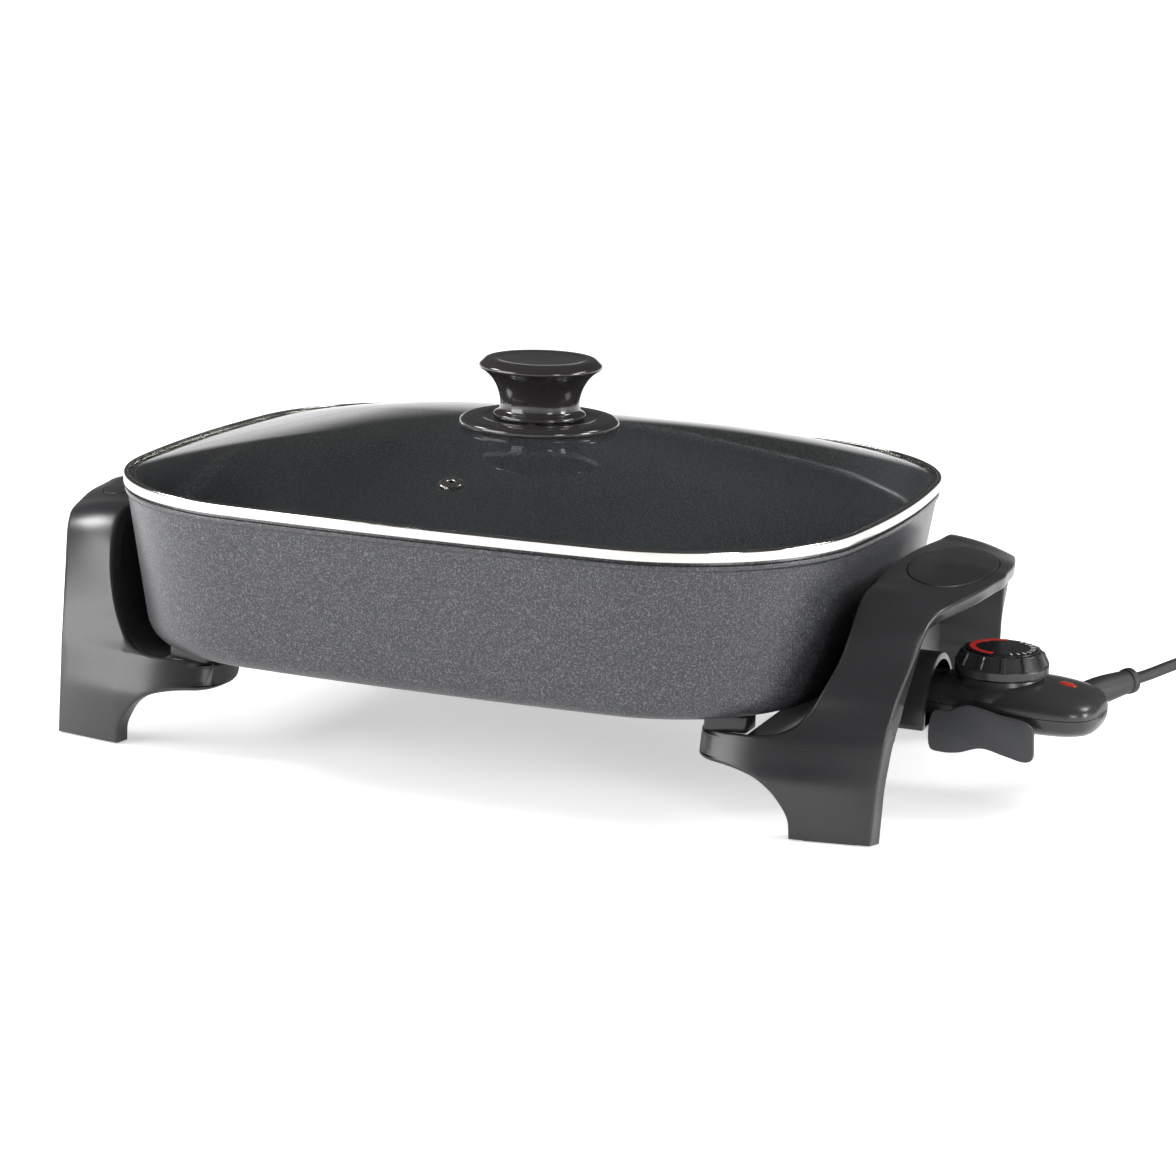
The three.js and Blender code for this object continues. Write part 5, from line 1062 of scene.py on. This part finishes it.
def cord_line():
    coil = [coil_point(i / COIL_STEPS) for i in range(COIL_LOOPS * COIL_STEPS + 1)]
    way = (coil[0] - coil[1]).normalized()
    start = coil[0] + way * CORD
    end = coil[-1] + (coil[-1] - coil[-2]).normalized() * CORD
    free = catmull([*CORD_ROUTE, tuple(start + way * CORD), tuple(start)], 6)
    return [Vector(p) for p in free] + coil + [end]


def tube(line, radius):
    """Rings round a line, carried along it without twist."""
    points = [Vector(p) for p in line]
    last = len(points) - 1
    ways = [(points[min(i + 1, last)] - points[max(i - 1, 0)]).normalized() for i in range(last + 1)]
    side = ways[0].cross(Vector((0, 0, 1))).normalized()
    rings = []
    for i, (p, way) in enumerate(zip(points, ways)):
        if i:
            side = ways[i - 1].rotation_difference(way) @ side
            side = (side - way * side.dot(way)).normalized()
        up = side.cross(way)
        rings.append([tuple(p + side * c * radius + up * s * radius) for c, s in circle(20)])
    return rings


def make_plug(end, way):
    turn = atan2(way.y, way.x)
    c, s = cos(turn), sin(turn)

    def at_plug(rings):
        return moved(rings, lambda p: (end.x + c * p[0] - s * p[1], end.y + s * p[0] + c * p[1], end.z + p[2]))

    rings = []
    for x, width, height in PLUG_ROWS:
        square = 0.62 if x > 26 else 1.0
        ring = []
        for a, b in circle(48):
            y = copysign(abs(a) ** square, a) * width / 2
            ring.append((x, y, copysign(abs(b) ** square, b) * height / 2))
        rings.append(ring)
    made = [piece(solid(at_plug(rings)), "plug_body", "cord_black", "control", ["mains_plug"], sharp=45)]
    outline = rounded([(57.6, -3.15, 0.1), (57.6, 3.15, 0.1), (74.3, 3.15, 1.8), (74.3, -3.15, 1.8)], 1, 5, True)
    for k, y in enumerate((-6.35, 6.35)):
        blade = solid(at_plug([[(x, y + t, z) for x, z in outline] for t in (-0.75, 0.75)]))
        hole = moved(turned(corners(0, -3, 1.5, 3), 32), lambda p, y=y: (70 + p[0], y + p[2], p[1]))
        less(blade, solid(at_plug(hole)))
        made.append(piece(bevel(blade, 0.2), f"blade_{k + 1}", "brass", "control", [f"plug_blade_{k + 1}"]))
    return made


def make_tie():
    inner = COIL_RADIUS - COIL_PITCH * COIL_LOOPS / 2 - CORD / 2 - 1
    outer = COIL_RADIUS - COIL_PITCH / 2 + CORD / 2 + 1
    low, high = COIL_Z - CORD / 2 - 0.4, COIL_Z + COIL_RISE + CORD / 2 + 0.4
    t = TIE_THICKNESS
    inside = rounded(corners(-outer, low, -inner, high), 3, 6, True)
    outside = rounded(corners(-outer - t, low - t, -inner + t, high + t), 3.6, 6, True)
    rings = []
    for x, line in ((-TIE_HALF, inside), (-TIE_HALF, outside), (TIE_HALF, outside), (TIE_HALF, inside)):
        rings.append([(COIL_CENTRE[0] + x, COIL_CENTRE[1] + y, z) for y, z in line])
    return piece(bevel(solid(rings, True), 0.25), "coil_band", "cord_black", "control", ["coil_tie"])


def make_cord():
    line = cord_line()
    lead = solid(tube(line, CORD / 2))
    piece(lead, "lead", "cord_black", "control", ["power_cord", "power_cord_coil"], sharp=60)
    plug, *blades = make_plug(line[-1], (line[-1] - line[-2]).normalized())
    tie = make_tie()


make_cord()


# ---- under the pan


def make_element():
    z = PAN_BOTTOM_Z - 4.3
    outline = rounded_outline(270, 190, 5, 5, 62, 0, z, (3, 5, 3))
    loop = [p for p in outline if p[0] < 0 or abs(p[1]) > 22]
    loop.sort(key=lambda p: atan2(p[1], p[0]) % (2 * pi))
    y, z_end = CONTACT_Y, AXIS_Z
    lead = [(157, y, mix(z, z_end, 0.6)), (mix(157, 180, 0.5), y, z_end), (180, y, z_end)]
    line = lead[::-1] + loop + [(x, -y, z) for x, y, z in lead]
    element = solid(tube(catmull(line, 6), 4))
    piece(element, "element_tube", "element_sheath", "base", ["heating_element"], sharp=60)


def make_contacts():
    for k, y in ((1, -CONTACT_Y), (2, CONTACT_Y)):
        pin = [(0, 180.3), (2.5, 180.3), (2.5, 211.5, 1), (1.25, 214, 0.5), (0, 214)]
        pin = lathe_x(pin, 40, 0.4, y)
        piece(pin, f"contact_pin_{k}", "plain_steel", "base", [f"terminal_pin_{k}"])
        bush = [(2.8, 185), (5.6, 185, 0.6), (5.6, 189.2, 0.3), (4.2, 189.2, 0), (4.2, 194, 0.5), (2.8, 194)]
        bush = lathe_x(bush, 48, 0.2, y, closed=True)
        piece(bush, f"ceramic_bush_{k}", "ceramic", "base", [f"terminal_bush_{k}"])
        sleeve = lathe_x(corners(3, 208.2, 4, 223.2), 40, 0.3, y, 3, True)
        piece(sleeve, f"sleeve_{k}", "brass", "control", [f"contact_sleeve_{k}"])
    well = [(0, 141), (5.2, 141, 0.8), (5.2, 187, 0.4), (3.6, 187, 0.3), (3.6, 144), (0, 144)]
    piece(lathe_x(well, 48, 0.4), "sensor_well", "plain_aluminium", "base", ["thermostat_well"])
    rod = [(0, 147), (2, 147, 0.8), (3, 149.2, 1), (3, 226.7), (0, 226.7)]
    piece(lathe_x(rod, 48, 0.5), "sensor_tube", "plain_steel", "control", ["sensor_rod"])


def make_supports():
    """Spacers, screws and pads at the four corners."""
    lean = atan2(FOOT_INNER[1] - FOOT_OUTER[1], FOOT_OUTER[0] - FOOT_INNER[0])
    c, s = cos(lean), sin(lean)
    cx = mix(FOOT_OUTER[0], FOOT_INNER[0], 0.5) - LEG_THICKNESS / 2 * s
    cy = -mix(FOOT_OUTER[1], FOOT_INNER[1], 0.5) + LEG_THICKNESS / 2 * c
    pad = rounded(corners(-14, -2.5, 14, 2.5), 1.2, 4, True)
    head, thread_end = ARM_TOP_Z * 0.69 + 1, 59.1
    spacer = rounded(corners(-11, -8, 11, 8), 2.4, 5, True)
    places = (("front_left", -1, -1), ("front_right", 1, -1), ("back_left", -1, 1), ("back_right", 1, 1))
    for k, (name, x, y) in enumerate(places, 1):
        at = (x * SPACER_AT[0], y * SPACER_AT[1])
        block = bevel(prism([(at[0] + a, at[1] + b) for a, b in spacer], 47.3, 55.2), 0.4)
        less(block, upright(5, 40, 60, at))
        piece(block, f"spacer_{name}", "bracket_black", "base", [f"heat_spacer_{name}"])
        cross = []
        for a, b in ((2.8, 0.5), (0.5, 2.8)):
            cross.append(prism(corners(at[0] - a, at[1] - b, at[0] + a, at[1] + b), head - 1, head + 1.4))
        body = less(bolt((4.5, 0.6), 2.2, head, head + 3.2, thread_end, 40, at), *cross)
        piece(body, f"screw_{k}", "plain_steel", "base", [f"bracket_screw_{k}"])
        rings = []
        for z, grow in ((0, 0.94), (0.3, 1), (2.6, 1)):
            turned_pad = [(cx + grow * (c * a - s * b), cy + grow * (s * a + c * b)) for a, b in pad]
            rings.append([(x * a, -y * b, z) for a, b in turned_pad])
        piece(solid(rings), f"pad_{name}", "rubber_foot", "base", [f"foot_pad_{name}"])
    for k, y in ((1, -POST_Y), (2, POST_Y)):
        body = bolt((2.7, 0.4), 1.4, 39.9, 41.7, 55, 32, (POST_X, y))
        piece(body, f"shell_screw_{k}", "plain_steel", "control", [f"housing_screw_{k}"])


make_pan()
make_brackets()
make_shroud()
make_glass()
make_band()
make_knob()
make_vent()
make_housing()
make_lens()
make_dial()
make_lever()
make_relief()
make_element()
make_contacts()
make_supports()

for name, node in frame["nodes"].items():
    if not node.hide_render:
        row = next(r for r in frame["record"]["subparts"] if r["node"] == name)
        node.data.materials.clear()
        node.data.materials.append(LOOK[row["material_slot"]])


# ---- stage and light

FLOOR_SIZE, FLOOR_GLOW = 16, 0.5
SKY_LOW, SKY_TOP, SKY_MIRRORED = 0.1, 1.15, 0.07


def make_floor():
    mesh = bpy.data.meshes.new("floor")
    around = corners(-FLOOR_SIZE, -FLOOR_SIZE, FLOOR_SIZE, FLOOR_SIZE)
    mesh.from_pydata([(x, y, 0) for x, y in around], [], [(0, 1, 2, 3)])
    floor = add("floor", mesh)
    t = Tree(bpy.data.materials.new("floor_white"))
    light = t.node("ShaderNodeLightPath").outputs
    seen = t.math("MAXIMUM", light["Is Camera Ray"], light["Is Glossy Ray"])
    seen = t.math("MAXIMUM", seen, light["Is Transmission Ray"])
    look = {"Base_Color": (0.9, 0.9, 0.9), "Roughness": 0.9, "Specular_IOR_Level": 0.0}
    glow = {"Emission_Color": (1.0, 1.0, 1.0), "Emission_Strength": t.math("MULTIPLY", seen, FLOOR_GLOW)}
    mesh.materials.append(t.close(t.shader(**look, **glow)))


def make_sky():
    """White behind the object, soft light from above, and a dark ceiling in what shines."""
    scene.world = bpy.data.worlds.new("studio")
    t = Tree(scene.world)
    way = t.node("ShaderNodeSeparateXYZ")
    t.put(t.where["Generated"], way.inputs[0])
    height = way.outputs["Z"]
    path = t.node("ShaderNodeLightPath").outputs
    lights = t.spread(height, 0.45, 0.9, SKY_LOW, SKY_TOP, interpolation_type="SMOOTHSTEP")
    mirrored_sky = t.spread(height, 0.0, 0.11, 1.0, SKY_MIRRORED, interpolation_type="SMOOTHSTEP")
    strength = t.mix(path["Is Glossy Ray"], lights, mirrored_sky, "FLOAT")
    strength = t.mix(path["Is Camera Ray"], strength, 1.0, "FLOAT")
    strength = t.mix(path["Is Transmission Ray"], strength, 1.0, "FLOAT")
    back = t.fill(t.node("ShaderNodeBackground"), Color=(1, 1, 1), Strength=strength)
    t.close(back.outputs[0], "World")


def lamp(name, at, target, size, watts):
    data = bpy.data.lights.new(name, "AREA")
    data.shape = "RECTANGLE"
    data.size, data.size_y = size
    data.energy = watts
    light = add(name, data)
    light.location = at
    light.rotation_mode = "QUATERNION"
    light.rotation_quaternion = (Vector(target) - Vector(at)).to_track_quat("-Z", "Y")


make_floor()
make_sky()
lamp("front_left", (-1.3, -1.2, 0.5), (0, 0, 0.06), (1.2, 1.0), 25)
lamp("left_high", (-1.43, -0.2, 1.02), (-0.25, -0.08, 0.1), (0.45, 0.4), 14)
lamp("front_right", (1.3, -1.05, 0.38), (0, 0, 0.1), (0.35, 0.35), 5)
lamp("right", (1.5, 0.05, 0.32), (0, 0.05, 0.1), (0.35, 0.45), 9)
lamp("right_high", (1.07, 0.49, 0.94), (0.26, 0, 0.06), (0.35, 0.35), 6)
scene.view_settings.view_transform = "Standard"
